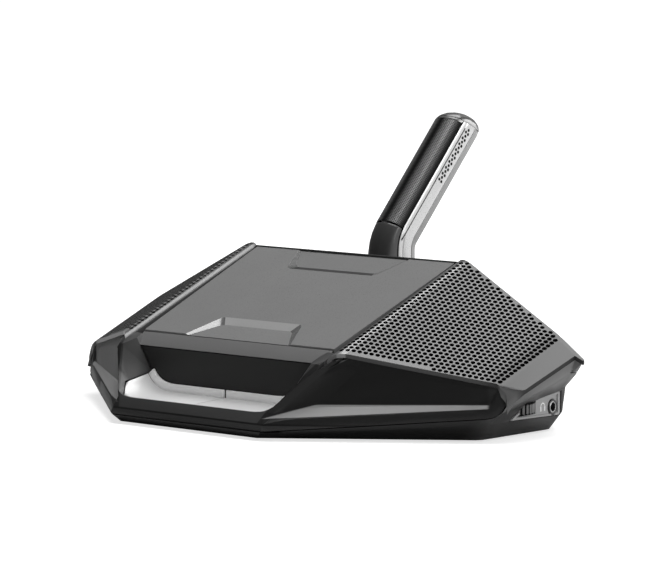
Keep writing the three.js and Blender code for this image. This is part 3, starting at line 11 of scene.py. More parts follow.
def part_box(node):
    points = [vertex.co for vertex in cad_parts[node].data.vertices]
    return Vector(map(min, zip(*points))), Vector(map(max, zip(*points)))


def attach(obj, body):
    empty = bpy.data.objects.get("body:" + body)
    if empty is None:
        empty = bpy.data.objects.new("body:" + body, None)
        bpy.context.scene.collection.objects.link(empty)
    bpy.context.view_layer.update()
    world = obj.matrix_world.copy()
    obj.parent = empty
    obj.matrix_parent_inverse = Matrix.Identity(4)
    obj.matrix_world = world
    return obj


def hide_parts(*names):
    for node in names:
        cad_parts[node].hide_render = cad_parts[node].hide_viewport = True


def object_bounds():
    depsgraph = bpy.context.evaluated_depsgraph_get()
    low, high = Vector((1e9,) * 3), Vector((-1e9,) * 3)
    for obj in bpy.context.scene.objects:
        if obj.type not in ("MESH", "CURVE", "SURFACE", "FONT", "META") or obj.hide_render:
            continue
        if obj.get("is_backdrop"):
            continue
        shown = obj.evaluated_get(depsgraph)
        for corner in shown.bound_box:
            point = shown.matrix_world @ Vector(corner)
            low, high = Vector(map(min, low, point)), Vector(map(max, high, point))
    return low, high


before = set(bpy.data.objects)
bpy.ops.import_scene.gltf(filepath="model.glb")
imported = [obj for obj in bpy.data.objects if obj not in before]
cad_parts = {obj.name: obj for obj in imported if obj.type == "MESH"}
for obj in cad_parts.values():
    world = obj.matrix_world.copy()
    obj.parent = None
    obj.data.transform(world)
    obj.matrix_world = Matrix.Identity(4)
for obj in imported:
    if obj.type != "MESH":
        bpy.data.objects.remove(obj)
cad_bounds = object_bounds()

MM = 0.001

# Crown of the housing, with the grilles' facet and outer strip that fall away beside it
CROWN = math.tan(math.radians(23.3))
FACET = math.tan(math.radians(25.9))
STRIP = math.tan(math.radians(31.4))
CROWN_FRONT_Y, CROWN_FRONT_Z, CROWN_BACK_Y = 27.2, 33.9, 98.8
INNER_X, CREST_X, BEND_X, CREST_RISE = 57.4, 62, 115, 1.1


def crown_z(y):
    return CROWN_FRONT_Z + (y - CROWN_FRONT_Y) * CROWN


def facet_rise(x):
    """Height of the facet, and of the strip beyond the bend, over the crown."""
    outer = max(x - BEND_X, 0)
    return CREST_RISE - (min(x, BEND_X) - CREST_X) * FACET - outer * STRIP


plate_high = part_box("top_plate")[1]
SHIFT = Vector((0, plate_high.y / MM - CROWN_BACK_Y, plate_high.z / MM - crown_z(CROWN_BACK_Y)))


def at(x, y, z):
    return (Vector((x, y, z)) + SHIFT) * MM


# Line of the side wall in plan
SIDE_START = Vector((113.7, 55.5))
SIDE_RUN = (Vector((105.4, 108.3)) - SIDE_START).normalized()
SIDE_OUT = Vector((SIDE_RUN.y, -SIDE_RUN.x))

# Line along the foot of a wing in plan
WING_RUN = (0.786, 0.618)
WING_START = (42.4, -2.2)


def along_wing(run, z=0):
    return WING_START[0] + WING_RUN[0] * run, WING_START[1] + WING_RUN[1] * run, z


# Corner where the grille's strip folds down round the end of the rim
FOLD_START, FOLD_END = Vector((114.3, 57.9)), Vector((123, 64.7))
FOLD_RUN = (FOLD_END - FOLD_START).normalized()
FOLD_ACROSS = Vector((FOLD_RUN.y, -FOLD_RUN.x))

# A grille's two long edges in plan, each from its corner near the middle
FRONT_CORNER, FRONT_SLOPE = (61.7, 24.05), 0.6435
REAR_CORNER, REAR_SLOPE = (CREST_X, CROWN_BACK_Y), 0.0635

# Materials
CLOUD_SCALE, CLOUD_DETAIL, MOTTLE = 60, 4, 0.06
GRAIN_DETAIL, GLOSS_SPREAD, RELIEF, COAT_ROUGH = 3, 0.08, 0.5, 0.08


def linear(level):
    c = level / 255
    return c / 12.92 if c <= 0.04045 else ((c + 0.055) / 1.055) ** 2.4


def add(tree, kind, operation=None, **values):
    """Shader node of a kind, with its operation and the values of its inputs."""
    made = tree.nodes.new(kind)
    if operation:
        made.operation = operation
    for key, value in values.items():
        made.inputs[key.replace("_", " ")].default_value = value
    return made


def product(tree, first, second):
    made = add(tree, "ShaderNodeMath", "MULTIPLY")
    tree.links.new(first, made.inputs[0])
    tree.links.new(second, made.inputs[1])
    return made.outputs["Value"]


def zone_mask(tree, source, direction, low, high, alike=True):
    """Share from 0 to 1 of a place along one line, on both sides of the middle where alike."""
    if alike:
        parts = add(tree, "ShaderNodeSeparateXYZ")
        across = add(tree, "ShaderNodeMath", "ABSOLUTE")
        joined = add(tree, "ShaderNodeCombineXYZ")
        tree.links.new(source, parts.inputs["Vector"])
        tree.links.new(parts.outputs["X"], across.inputs[0])
        tree.links.new(across.outputs["Value"], joined.inputs["X"])
        tree.links.new(parts.outputs["Y"], joined.inputs["Y"])
        tree.links.new(parts.outputs["Z"], joined.inputs["Z"])
        source = joined.outputs["Vector"]
    along = add(tree, "ShaderNodeVectorMath", "DOT_PRODUCT")
    along.inputs[1].default_value = direction
    share = add(tree, "ShaderNodeMapRange", From_Min=low, From_Max=high)
    share.interpolation_type = "SMOOTHSTEP"
    tree.links.new(source, along.inputs[0])
    tree.links.new(along.outputs["Value"], share.inputs["Value"])
    return share.outputs["Result"]


def mottled(tree, vector, level, tint):
    """Colour that wanders a little about its level."""
    cloud = add(tree, "ShaderNodeTexNoise", Scale=CLOUD_SCALE, Detail=CLOUD_DETAIL)
    tone = add(tree, "ShaderNodeValToRGB")
    for stop, share in zip(tone.color_ramp.elements, (1 - MOTTLE, 1 + MOTTLE)):
        stop.color = tuple(linear(level) * share * t for t in tint) + (1,)
    tree.links.new(vector, cloud.inputs["Vector"])
    tree.links.new(cloud.outputs["Fac"], tone.inputs["Fac"])
    return tone.outputs["Color"]


def shader(name, level, rough, metal=0.0, tint=(1, 1, 1), grain=(2600, 0.02),
           coat=0.0, specular=0.5, glow=0.0, zones=()):
    """Moulded or coated surface: mottled colour and gloss, and a fine grain in its relief.

    The grain is its scale and height. Each zone is a level, a direction, and where along that
    direction its share starts and is full.
    """
    made = bpy.data.materials.new(name)
    made.use_nodes = True
    tree = made.node_tree
    main = tree.nodes["Principled BSDF"]
    main.inputs["Metallic"].default_value = metal
    main.inputs["Specular IOR Level"].default_value = specular
    main.inputs["Coat Weight"].default_value = coat
    main.inputs["Coat Roughness"].default_value = COAT_ROUGH
    main.inputs["Emission Strength"].default_value = glow
    place = add(tree, "ShaderNodeTexCoord").outputs["Object"]
    colour = mottled(tree, place, level, tint)
    for zone_level, direction, low, high in zones:
        mix = add(tree, "ShaderNodeMix")
        mix.data_type = "RGBA"
        tree.links.new(zone_mask(tree, place, direction, low, high), mix.inputs["Factor"])
        tree.links.new(colour, mix.inputs["A"])
        tree.links.new(mottled(tree, place, zone_level, tint), mix.inputs["B"])
        colour = mix.outputs["Result"]
    tree.links.new(colour, main.inputs["Base Color"])
    fine = add(tree, "ShaderNodeTexNoise", Scale=grain[0], Detail=GRAIN_DETAIL)
    tree.links.new(place, fine.inputs["Vector"])
    gloss = add(tree, "ShaderNodeMapRange", To_Min=rough * (1 - GLOSS_SPREAD),
                To_Max=min(rough * (1 + GLOSS_SPREAD), 1))
    tree.links.new(fine.outputs["Fac"], gloss.inputs["Value"])
    tree.links.new(gloss.outputs["Result"], main.inputs["Roughness"])
    relief = add(tree, "ShaderNodeBump", Strength=RELIEF, Distance=grain[1] * MM)
    tree.links.new(fine.outputs["Fac"], relief.inputs["Height"])
    tree.links.new(relief.outputs["Normal"], main.inputs["Normal"])
    return made


def plane_zone(level, direction, point, reach):
    """Zone beyond a plane through a drawing point, fading in over reach."""
    start = at(*point).dot(Vector(direction))
    return level, direction, start, start + reach * MM


def outside(level, x, reach):
    return plane_zone(level, (1, 0, 0), (x, 0, 0), reach)


def inside(level, x, reach):
    return plane_zone(level, (-1, 0, 0), (x, 0, 0), reach)


def below(level, z, reach):
    return plane_zone(level, (0, 0, -1), (0, 0, z), reach)


def under_wing_line(rise):
    """Direction below a line that climbs by rise for each millimetre of the wing."""
    return WING_RUN[0] * rise, WING_RUN[1] * rise, -1


def opposite(direction):
    return tuple(-step for step in direction)


# The frame's ribbon ends at the arris, and beyond it the wing's scoop is painted dark as shade.
# Three lines climb along the wing: the fold over the scoop's floor, the floor's upper edge and the
# rim's edge.
# The floor is painted light where it faces up; the rim and the wing's end beyond the floor are
# painted shade.
# The last three zones are the foot: a dark line of painted shade at the seam, a lighter band and
# painted shade under it.
RIBBON, SCOOP_SHADE, SCOOP_FLOOR_LIGHT, RIM_SHADE = 64, 24, 165, 34
ARRIS, ARRIS_OUT = (47.9, 8.4, 0), (0.75, -0.66, 0)
FLOOR_FOLD, FLOOR_FOLD_LINE = 7.4, opposite(under_wing_line(0.26))
FLOOR_TOP, FLOOR_TOP_LINE = 13.3, under_wing_line(0.014)
RIM_TOP, RIM_TOP_LINE = 8.0, under_wing_line(0.056)
FLOOR_LENGTH = 89.5
FRAME_ZONES = [
    plane_zone(SCOOP_SHADE, ARRIS_OUT, ARRIS, 0.5),
    plane_zone(SCOOP_FLOOR_LIGHT, FLOOR_TOP_LINE, along_wing(0, FLOOR_TOP), 0.6),
    plane_zone(SCOOP_SHADE, FLOOR_FOLD_LINE, along_wing(0, FLOOR_FOLD), 0.6),
    plane_zone(RIM_SHADE, RIM_TOP_LINE, along_wing(0, RIM_TOP), 0.3),
    plane_zone(RIM_SHADE, (*WING_RUN, 0), along_wing(FLOOR_LENGTH), 1.5),
    plane_zone(RIBBON, opposite(ARRIS_OUT), ARRIS, 0.5),
    below(16, 6.1, 0.2),
    below(54, 5.4, 0.2),
    below(14, 3.4, 0.2),
]
# Above this slanting line the housing's side band is painted lighter as light, and in front its
# foot is painted near black as shade under the wing
BAND_UP, BAND_FOOT = (0, -0.158, 1), (0, 64.7, 9.5)
HOUSING_ZONES = [
    plane_zone(112, BAND_UP, BAND_FOOT, 6),
    plane_zone(9, (0, -1, 0), (0, 57, 0), 8),
]
# Grille tones: the outer part painted darker as shade, the crest painted lighter as a highlight and
# the roll inside it less so, the rear edge painted shade and the folded corner painted lighter as
# light
REAR_SHADE_WIDTH = 2.2
GRILLE_ZONES = [
    outside(46, 106, 9),
    inside(148, 63.6, 0.8),
    inside(104, 60.6, 0.5),
    plane_zone(58, (REAR_SLOPE, 1, 0), (CREST_X, CROWN_BACK_Y - REAR_SHADE_WIDTH, 0), 1.2),
    plane_zone(112, (*FOLD_ACROSS, 0), (*FOLD_START, 0), 1.5),
]
# The mesh's light band is a painted highlight, and its sides beyond it are painted shade
WIRE_ZONES = [outside(165, 0.2, 3.2), outside(24, 5.2, 1.6)]
# The cap's dark band is painted shade; its pale edge is partly the silver frame's colour, partly a
# painted highlight
CAP_ZONES = [outside(30, 5.5, 0.4), outside(215, 6.3, 0.5)]

MATERIALS = {
    "housing": shader("housing_plastic", 62, 0.36, zones=HOUSING_ZONES),
    "frame": shader("frame_plastic", RIBBON, 0.4, specular=0.35, grain=(2600, 0.008),
                    zones=FRAME_ZONES),
    "plate": shader("plate_paint", 124, 0.28, grain=(3200, 0.006)),
    "lip": shader("lip_paint", 104, 0.4, grain=(3200, 0.006)),
    # The recesses' sides are a darker, glossier copy of the plate as painted shade, and the front
    # one's rise a lighter copy as painted light
    "recess_side_shaded": shader("recess_side_shaded", 96, 0.24, coat=0.8, specular=1.0, grain=(3200, 0.004)),
    "recess_rise_lit": shader("recess_rise_lit", 168, 0.28, grain=(3200, 0.006)),
    # Dark trim, also used as painted shade on the rear recess's rise, the grille's cut edge and the
    # microphone's groove
    "trim_and_shade": shader("trim_and_shade_plastic", 30, 0.5),
    "grille": shader("grille_paint", 76, 0.3, metal=0.3, zones=GRILLE_ZONES),
    "black": shader("black_plastic", 24, 0.5),
    "well": shader("well_plastic", 52, 0.6, specular=0.2),
    # Black cloth, also the black of painted shade in the wheel's grooves
    "cloth": shader("black_cloth_and_shade", 8, 0.95, grain=(900, 0.1)),
    "gloss": shader("gloss_black", 54, 0.34, coat=0.25, grain=(400, 0.002)),
    "cap": shader("mic_cap", 88, 0.26, coat=0.3, grain=(400, 0.002), zones=CAP_ZONES),
    "wire": shader("mic_wire", 44, 0.3, metal=0.7, grain=(3000, 0.002), zones=WIRE_ZONES),
    "key": shader("key_silver", 216, 0.4, metal=0.1, grain=(2400, 0.006)),
    # Faint glow of the light bar: painted light, lifting it out of the mouth's shade
    "light": shader("light_pipe_painted_glow", 245, 0.3, glow=0.12),
    "pocket": shader("pocket_grey", 184, 0.5),
    "metal": shader("plated_metal", 200, 0.25, metal=1.0),
    "silver": shader("mic_silver", 216, 0.28, metal=0.5, grain=(2400, 0.003)),
    "shell": shader("mic_shell", 160, 0.35, metal=0.3),
    "board": shader("board_dark", 26, 0.5, tint=(0.5, 1, 0.7)),
    "rubber": shader("black_rubber", 30, 0.7, grain=(1800, 0.04)),
    # Light grey of the rib crests: a painted highlight
    "rib_highlight": shader("wheel_ribs_highlight", 150, 0.4, grain=(1800, 0.02)),
    "gold": shader("gold_contact", 200, 0.25, metal=1.0, tint=(1, 0.78, 0.35)),
    # White print, with a faint glow of painted light
    "mark": shader("mark_white", 250, 0.5, glow=0.15),
}

LOOKS = {
    "base_housing": "housing", "rear_cover": "housing", "front_frame": "frame",
    "top_plate": "plate", "front_lip": "lip", "mouth_back_panel": "well",
    "upper_chassis": "black", "main_board": "board", "mic_socket": "black",
    "socket_contacts": "gold", "grille": "grille", "acoustic_cloth": "cloth",
    "light_bar": "light", "talk_button": "key", "button_switch": "metal",
    "control_panel": "pocket", "headphone_jack": "black", "volume_wheel": "rubber",
    "volume_potentiometer": "metal", "speaker_frame": "black", "speaker_cone": "cloth",
    "speaker_magnet": "metal", "network_socket": "black", "rubber_foot": "rubber",
    "housing_screw": "metal", "mic_plug": "gold", "mic_neck": "gloss", "mic_frame": "silver",
    "mic_mesh": "wire", "mic_rear_shell": "shell", "mic_end_cap": "cap",
    "mic_board": "black", "mic_capsule": "metal",
}
NODE_WELD, NODE_FLAT, NODE_EDGE, NODE_EDGE_FROM = 0.002, 1, 0.25, 28


def look_of(name):
    return LOOKS[max((key for key in LOOKS if name.startswith(key)), key=len)]


def bevel(obj, width, segments, limit):
    step = obj.modifiers.new("edge", "BEVEL")
    step.width = width * MM
    step.segments = segments
    step.limit_method = "ANGLE"
    step.angle_limit = math.radians(limit)
    step.harden_normals = True


def dress(node, look):
    """Gives a node its material and softens its edges, its own vertices left as they are."""
    node.data.materials.clear()
    node.data.materials.append(MATERIALS[look])
    weld = node.modifiers.new("weld", "WELD")
    weld.merge_threshold = NODE_WELD * MM
    flat = node.modifiers.new("flat", "DECIMATE")
    flat.decimate_type = "DISSOLVE"
    flat.angle_limit = math.radians(NODE_FLAT)
    bevel(node, NODE_EDGE, segments=2, limit=NODE_EDGE_FROM)
    for face in node.data.polygons:
        face.use_smooth = True


# Mesh tools
def new_object(name, data):
    made = bpy.data.objects.new(name, data)
    bpy.context.scene.collection.objects.link(made)
    return made


def piece(name, points, faces, look):
    mesh = bpy.data.meshes.new(name)
    mesh.from_pydata([at(*p) for p in points], [], faces)
    mesh.materials.append(MATERIALS[look])
    tidy_normals(mesh)
    return new_object(name, mesh)


def tidy_normals(mesh):
    work = bmesh.new()
    work.from_mesh(mesh)
    bmesh.ops.recalc_face_normals(work, faces=work.faces)
    work.to_mesh(mesh)
    work.free()


def skirt(base, count):
    """Quads between a ring of points and the next one, the first starting at base."""
    for k in range(count):
        a, b = base + k, base + (k + 1) % count
        yield a, b, b + count, a + count


def stack(name, rings, look, closed=True):
    """Skin through rings of equal counts, with flat ends where it is closed."""
    count = len(rings[0])
    points = [p for ring in rings for p in ring]
    faces = [quad for level in range(len(rings) - 1) for quad in skirt(level * count, count)]
    if closed:
        faces.append(tuple(range(count))[::-1])
        faces.append(tuple(range(len(points) - count, len(points))))
    return piece(name, points, faces, look)


def prism(name, outline, low, high, place, look="black"):
    """Outline run from low to high along the third axis of place(a, b, c)."""
    return stack(name, [[place(a, b, c) for a, b in outline] for c in (low, high)], look)


def pegs(name, spots, place, sides, ends, look):
    """Short round pegs as one mesh: place(spot, a, b, c) is a point on a spot's unit circle."""
    points, faces = [], []
    for spot in spots:
        base = len(points)
        for depth in ends:
            for k in range(sides):
                angle = 2 * math.pi * (k + 0.5) / sides
                points.append(place(spot, math.cos(angle), math.sin(angle), depth))
        near = range(base, base + sides)
        faces += [tuple(near)[::-1], tuple(v + sides for v in near), *skirt(base, sides)]
    return piece(name, points, faces, look)


def settle(obj):
    """Applies an object's modifiers to its mesh."""
    bpy.context.view_layer.update()
    ready = obj.evaluated_get(bpy.context.evaluated_depsgraph_get())
    mesh = bpy.data.meshes.new_from_object(ready)
    obj.modifiers.clear()
    obj.data = mesh


def combine(obj, tool, operation="DIFFERENCE"):
    step = obj.modifiers.new(operation, "BOOLEAN")
    step.operation = operation
    step.solver = "MANIFOLD"
    step.object = tool
    settle(obj)
    bpy.data.objects.remove(tool)


def soften(obj, width, limit):
    obj.data.shade_smooth()
    bevel(obj, width, segments=3, limit=limit)
    settle(obj)


def smooth(obj, angle=35):
    obj.data.shade_smooth()
    obj.data.set_sharp_from_angle(angle=math.radians(angle))


def mirror_piece(obj, name):
    """Copy of a right-hand piece for the left side."""
    mesh = obj.data.copy()
    mesh.transform(Matrix.Diagonal((-1, 1, 1, 1)))
    mesh.flip_normals()
    return new_object(name, mesh)


def both_sides(obj, name, body="unit", replaced=None):
    """Names a right-hand piece, mirrors it, and lets both ride and replace their nodes."""
    obj.name = f"{name}_right"
    for made, side in ((obj, "right"), (mirror_piece(obj, f"{name}_left"), "left")):
        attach(made, body.format(side=side))
        if replaced:
            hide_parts(f"{replaced}_{side}")


def rounded(outline, radii, steps=4):
    """Outline whose corners, where their radius isn't zero, become arcs."""
    made = []
    for i, ((x, y), radius) in enumerate(zip(outline, radii)):
        corner = Vector((x, y))
        if not radius:
            made.append((x, y))
            continue
        before = Vector(outline[i - 1]) - corner
        after = Vector(outline[(i + 1) % len(outline)]) - corner
        a, b = corner + before.normalized() * radius, corner + after.normalized() * radius
        for k in range(steps + 1):
            t = k / steps
            point = a * (1 - t) ** 2 + corner * 2 * t * (1 - t) + b * t ** 2
            made.append((point.x, point.y))
    return made


def mirrored(points):
    return points + [(-x, y) for x, y in points[::-1]]


# Centre plate with its two shallow recesses, the lip before it and the dark rim behind it
PLATE_THICK, PLATE_EDGE = 2.2, 0.25
SEAM_Y, REAR_SEAM_Y = 28.4, 97.7
PLATE_PLAN = mirrored([(53.9, SEAM_Y), (56.2, REAR_SEAM_Y)])
FRONT_RECESS = {"half": 29.9, "slant": 7.4, "edge_y": SEAM_Y, "run": 14.6, "depth": 1.5,
                "side_bevel": 2.6, "end_bevel": 3.0}
REAR_RECESS = {"half": 31.5, "slant": 6.6, "edge_y": REAR_SEAM_Y, "run": -14.6, "depth": 1.05,
               "side_bevel": 1.9, "end_bevel": 3.6}
RECESS_LEAD, RECESS_ROUND, RECESS_END, RECESS_LEAST, RECESS_CLEAR = 6, 2.4, 0.75, 0.02, 2
UPWARD, SIDE_TILT, REAR_TILT, RISE_TILT = 0.5, 0.1, 0.15, -0.12  # of a face's normal
LIP_FRONT_Y, LIP_HALF, LIP_FLARE, LIP_EDGE = 21.8, 53.4, 0.05, 0.3
LIP_SECTION = [(LIP_FRONT_Y, 28.8), (27.5, 33.64), (27.75, 33.74), (27.75, 31.6), (24.2, 28.3)]
REAR_RIM_Y, REAR_RIM_HALF, REAR_RIM_SINK = 98.5, 57, 0.3
REAR_RIM_DEEP, REAR_RIM_HIGH, REAR_RIM_FOOT = 0.75, 0.6, 1.6


def recess_tool(half, slant, edge_y, run, depth, side_bevel, end_bevel):
    """Cutter whose floor sinks from nothing at the plate's edge to its depth at the far end."""
    sign = math.copysign(1, run)
    side = [(half + slant * RECESS_LEAD / abs(run), edge_y - sign * RECESS_LEAD),
            (half - slant, edge_y + run)]
    outline = rounded(mirrored(side), [0, RECESS_ROUND, RECESS_ROUND, 0])
    floor = []
    for x, y in outline:
        share = max((y - edge_y) / run, 0)
        inner_x = x - math.copysign(side_bevel * share, x)
        inner_y = y - sign * end_bevel * (share > RECESS_END)
        floor.append((inner_x, inner_y, crown_z(inner_y) - max(depth * share, RECESS_LEAST)))
    rings = [[(x, y, crown_z(y) + rise) for x, y in outline] for rise in (RECESS_CLEAR, 0)]
    return stack("recess", [*rings, floor], "plate")


def shade_recesses(plate):
    """Gives the recesses' sides a darker, glossier copy of the plate as painted shade, the front
    one's rise painted light and the rear one's painted shade.
    """
    for look in ("recess_side_shaded", "recess_rise_lit", "trim_and_shade"):
        plate.data.materials.append(MATERIALS[look])
    plate_normal = Vector((0, -CROWN, 1)).normalized()
    for face in plate.data.polygons:
        if face.normal.z < UPWARD:
            continue
        tilt = face.normal - plate_normal
        if abs(tilt.x) > SIDE_TILT:
            face.material_index = 1
        elif tilt.y > REAR_TILT:
            face.material_index = 3
        elif tilt.y < RISE_TILT:
            face.material_index = 2


def top_plate():
    plate = prism("top_plate_skin", PLATE_PLAN, -PLATE_THICK, 0,
                  lambda x, y, z: (x, y, crown_z(y) + z), "plate")
    combine(plate, recess_tool(**FRONT_RECESS))
    combine(plate, recess_tool(**REAR_RECESS))
    shade_recesses(plate)
    soften(plate, PLATE_EDGE, limit=12)
    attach(plate, "unit")
    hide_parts("top_plate")


def front_lip():
    """Strip from the mouth up to the plate, its upper edge rounded to catch the light."""
    lip = prism("lip_skin", LIP_SECTION, -1, 1,
                lambda y, z, side: (side * (LIP_HALF + (y - LIP_FRONT_Y) * LIP_FLARE), y, z), "lip")
    soften(lip, LIP_EDGE, limit=20)
    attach(lip, "unit")
    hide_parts("front_lip")


def rear_rim():
    """Rounded bar that closes the plate's rear edge."""
    section = [(REAR_RIM_DEEP * math.cos(a), REAR_RIM_HIGH * math.sin(a))
               for a in (math.pi * k / 6 for k in range(7))]
    section += [(-REAR_RIM_DEEP, -REAR_RIM_FOOT), (REAR_RIM_DEEP, -REAR_RIM_FOOT)]
    base = crown_z(REAR_RIM_Y) - REAR_RIM_SINK
    rim = prism("rear_rim", section, -REAR_RIM_HALF, REAR_RIM_HALF,
                lambda y, z, x: (x, REAR_RIM_Y + y, base + z), "trim_and_shade")
    smooth(rim)
    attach(rim, "unit")


# Grilles: plan of the sheet, its rolled inner edge and its folded corner
SHEET, SHEET_RUN, PLAN_RUN = 1.5, (0, 110), (-20, 130)
GRILLE_PLAN = [
    (INNER_X, 20.3), FRONT_CORNER, tuple(FOLD_START), (116.3, 58.0), (118.1, 58.8), (119.1, 58.4),
    tuple(FOLD_END), (124.6, 93.2), (128.2, 94), (128.2, 94.8), REAR_CORNER,
    (INNER_X, CROWN_BACK_Y),
]
ROLL_DEEP, ROLL_HIGH, ROLL_STEPS, ROLL_SKIRT = 2.3, 1.7, 8, 4.2
CREST_IN, CREST_OUT = CREST_X - 1.1, CREST_X + 1.1
CREST_LINE = [(CREST_IN, CREST_RISE - 0.05), (CREST_X, CREST_RISE - 0.35),
              (CREST_OUT, facet_rise(CREST_OUT) - 0.1)]
BEND_REACH, BEND_SINK, FACET_START, SHEET_END = 2.4, 0.12, 64.4, 134
FACET_NORMAL = Vector((FACET, -CROWN, 1)).normalized()
FOLD_DROP, FOLD_SKIRT, FOLD_CUTS, FOLD_STEP, FOLD_NEAR = 0.7, 1.2, 8, 0.35, 1e-7

# Staggered holes in the lattice read from the photograph, kept off the sheet's two long edges
HOLE_COLUMNS, HOLE_ROWS, HOLE_SIDES = range(-2, 26), range(-40, 40), 10
HOLE_RADIUS, HOLE_CUT, BEND_HOLE_REACH, NEAR_BEND = 0.98, 3, 1.15, 3
LATTICE_X, LATTICE_Y, COLUMN_X, COLUMN_Y, ROW_Y = 64.4, 61.5, 1.988, 1.327, 2.192
LATTICE_LEAN, LEAN_FROM_Y = 0.0145, 35
FRONT_MARGIN, REAR_MARGIN = 1.2, 1.15
HOLE_WALL_AREA, HOLE_WALL_TILT = 1.3 * MM ** 2, 0.25
CUT_EDGE_FACING, CUT_EDGE_TILT = 0.8, 0.3


def grille_profile():
    """Upper line of the sheet: rolled inner edge, crest, facet, bend and outer strip."""
    roll = []
    for i in range(ROLL_STEPS + 1):
        angle = math.pi * (1 - i / (2 * ROLL_STEPS))
        roll.append((INNER_X + ROLL_DEEP + ROLL_DEEP * math.cos(angle),
                     CREST_RISE - ROLL_HIGH + ROLL_HIGH * math.sin(angle)))
    stations = (FACET_START, BEND_X - BEND_REACH, BEND_X, BEND_X + BEND_REACH, SHEET_END)
    facet = [(x, facet_rise(x) - BEND_SINK * (x == BEND_X)) for x in stations]
    return [(INNER_X, CREST_RISE - ROLL_SKIRT)] + roll + CREST_LINE + facet


def grille():
    upper = grille_profile()
    lower = []
    for i, (x, rise) in enumerate(upper):
        ax, az = upper[max(i - 1, 0)]
        bx, bz = upper[min(i + 1, len(upper) - 1)]
        span = math.hypot(bx - ax, bz - az)
        lower.append((x + (bz - az) / span * SHEET, rise - (bx - ax) / span * SHEET))
    sheet = prism("grille", upper + lower[::-1], *SHEET_RUN,
                  lambda x, rise, y: (x, y, crown_z(y) + rise), "grille")
    bounds = prism("plan", GRILLE_PLAN, *PLAN_RUN, lambda x, y, z: (x, y, z))
    combine(sheet, bounds, "INTERSECT")
    combine(sheet, hole_tools())
    fold_corner(sheet)
    smooth(sheet)
    darken_cuts(sheet)
    both_sides(sheet, "grille_sheet", replaced="grille")


def hole_tools():
    """Pegs square to the facet, longer across where they meet the bend."""
    turn = Vector((0, 0, 1)).rotation_difference(FACET_NORMAL)

    def place(spot, a, b, depth):
        middle, reach = spot
        return tuple(middle + turn @ Vector((HOLE_RADIUS * a, HOLE_RADIUS * reach * b, depth)))

    spots = []
    for i in HOLE_COLUMNS:
        for j in HOLE_ROWS:
            y = LATTICE_Y + COLUMN_Y * i + ROW_Y * j
            x = LATTICE_X + COLUMN_X * i + LATTICE_LEAN * (y - LEAN_FROM_Y)
            front = FRONT_CORNER[1] + (x - FRONT_CORNER[0]) * FRONT_SLOPE
            back = REAR_CORNER[1] - (x - REAR_CORNER[0]) * REAR_SLOPE
            if not (front + FRONT_MARGIN < y < back - REAR_MARGIN):
                continue
            middle = Vector((x, y, crown_z(y) + facet_rise(x)))
            spots.append((middle, BEND_HOLE_REACH if x > BEND_X - NEAR_BEND else 1))
    return pegs("holes", spots, place, HOLE_SIDES, (-HOLE_CUT, HOLE_CUT), "black")


def fold_corner(sheet):
    """Rolls the strip's front corner down round the rim's end."""
    work = bmesh.new()
    work.from_mesh(sheet.data)
    for k in range(FOLD_CUTS):
        geometry = work.verts[:] + work.edges[:] + work.faces[:]
        bmesh.ops.bisect_plane(work, geom=geometry, dist=FOLD_NEAR, plane_no=(*FOLD_ACROSS, 0),
                               plane_co=at(*(FOLD_START + FOLD_ACROSS * FOLD_STEP * k), 0))
    for vert in work.verts:
        x, y, z = vert.co / MM - SHIFT
        beyond = (Vector((x, y)) - FOLD_START).dot(FOLD_ACROSS)
        if beyond > 0:
            underside = z - crown_z(y) - facet_rise(x) < -SHEET / 2
            under = FOLD_SKIRT * beyond if underside else 0
            vert.co.z -= (FOLD_DROP * beyond ** 2 + under) * MM
    work.to_mesh(sheet.data)
    work.free()


def darken_cuts(sheet):
    """Gives the side's cut edge the painted shade of its seam, and the holes' walls the black of
    the cloth.
    """
    sheet.data.materials.append(MATERIALS["trim_and_shade"])
    sheet.data.materials.append(MATERIALS["cloth"])
    outward = Vector((*SIDE_OUT, 0))
    for face in sheet.data.polygons:
        upright = abs(face.normal.z) < CUT_EDGE_TILT
        across = abs(face.normal.dot(FACET_NORMAL)) < HOLE_WALL_TILT
        if face.center.x / MM > BEND_X:
            if upright and face.normal.dot(outward) > CUT_EDGE_FACING:
                face.material_index = 1
        elif across and face.area < HOLE_WALL_AREA:
            face.material_index = 2


# Microphone: a fine lattice over the front, bent round an ellipse, with vents, and a groove beside
# it painted dark as shade
LEAN = math.radians(41.5)
MIC_CORNER = Vector((0, 117.1, 71.1))
MIC_AXIS = Vector((0, math.sin(LEAN), math.cos(LEAN)))
MIC_BACK = Vector((0, math.cos(LEAN), -math.sin(LEAN)))
MIC_HALF = 7.8
MESH_START, MESH_END, MESH_HALF, MESH_BULGE, END_SLOPE = 4.5, 61.0, 7.1, 5.0, 0.28
MESH_ACROSS, MESH_ALONG, WIRE_HALF, WIRE_THICK = 26, 74, 0.17, 0.25
FOAM_STEPS, FOAM_FRONT, FOAM_BACK, FOAM_MARGIN = 24, 0.45, 0.8, 0.002
VENT_DEPTH, VENT_SPREAD, VENT_START, VENT_PITCH = 4.75, 0.86, 61.1, 3.2
VENT_COUNT, VENT_SIDES, VENT_RADIUS, VENT_SINK, VENT_PROUD = 9, 8, 0.7, 0.1, 0.03
GROOVE_FRONT, GROOVE_BACK, GROOVE_END, GROOVE_SINK, GROOVE_PROUD = 2.2, 2.75, 60.4, 0.3, 0.01


def on_mic(x, depth, length):
    return tuple(Vector((x, 0, 0)) + MIC_CORNER + MIC_AXIS * length + MIC_BACK * depth)


def mic_front(angle, share, sink=0.0):
    """Point of the microphone's front skin at an angle round it and a share of its length."""
    x = (MESH_HALF - sink) * math.cos(angle)
    depth = -(MESH_BULGE - sink) * math.sin(angle)
    length = MESH_START + share * (MESH_END + END_SLOPE * depth - MESH_START)
    return on_mic(x, depth, length)


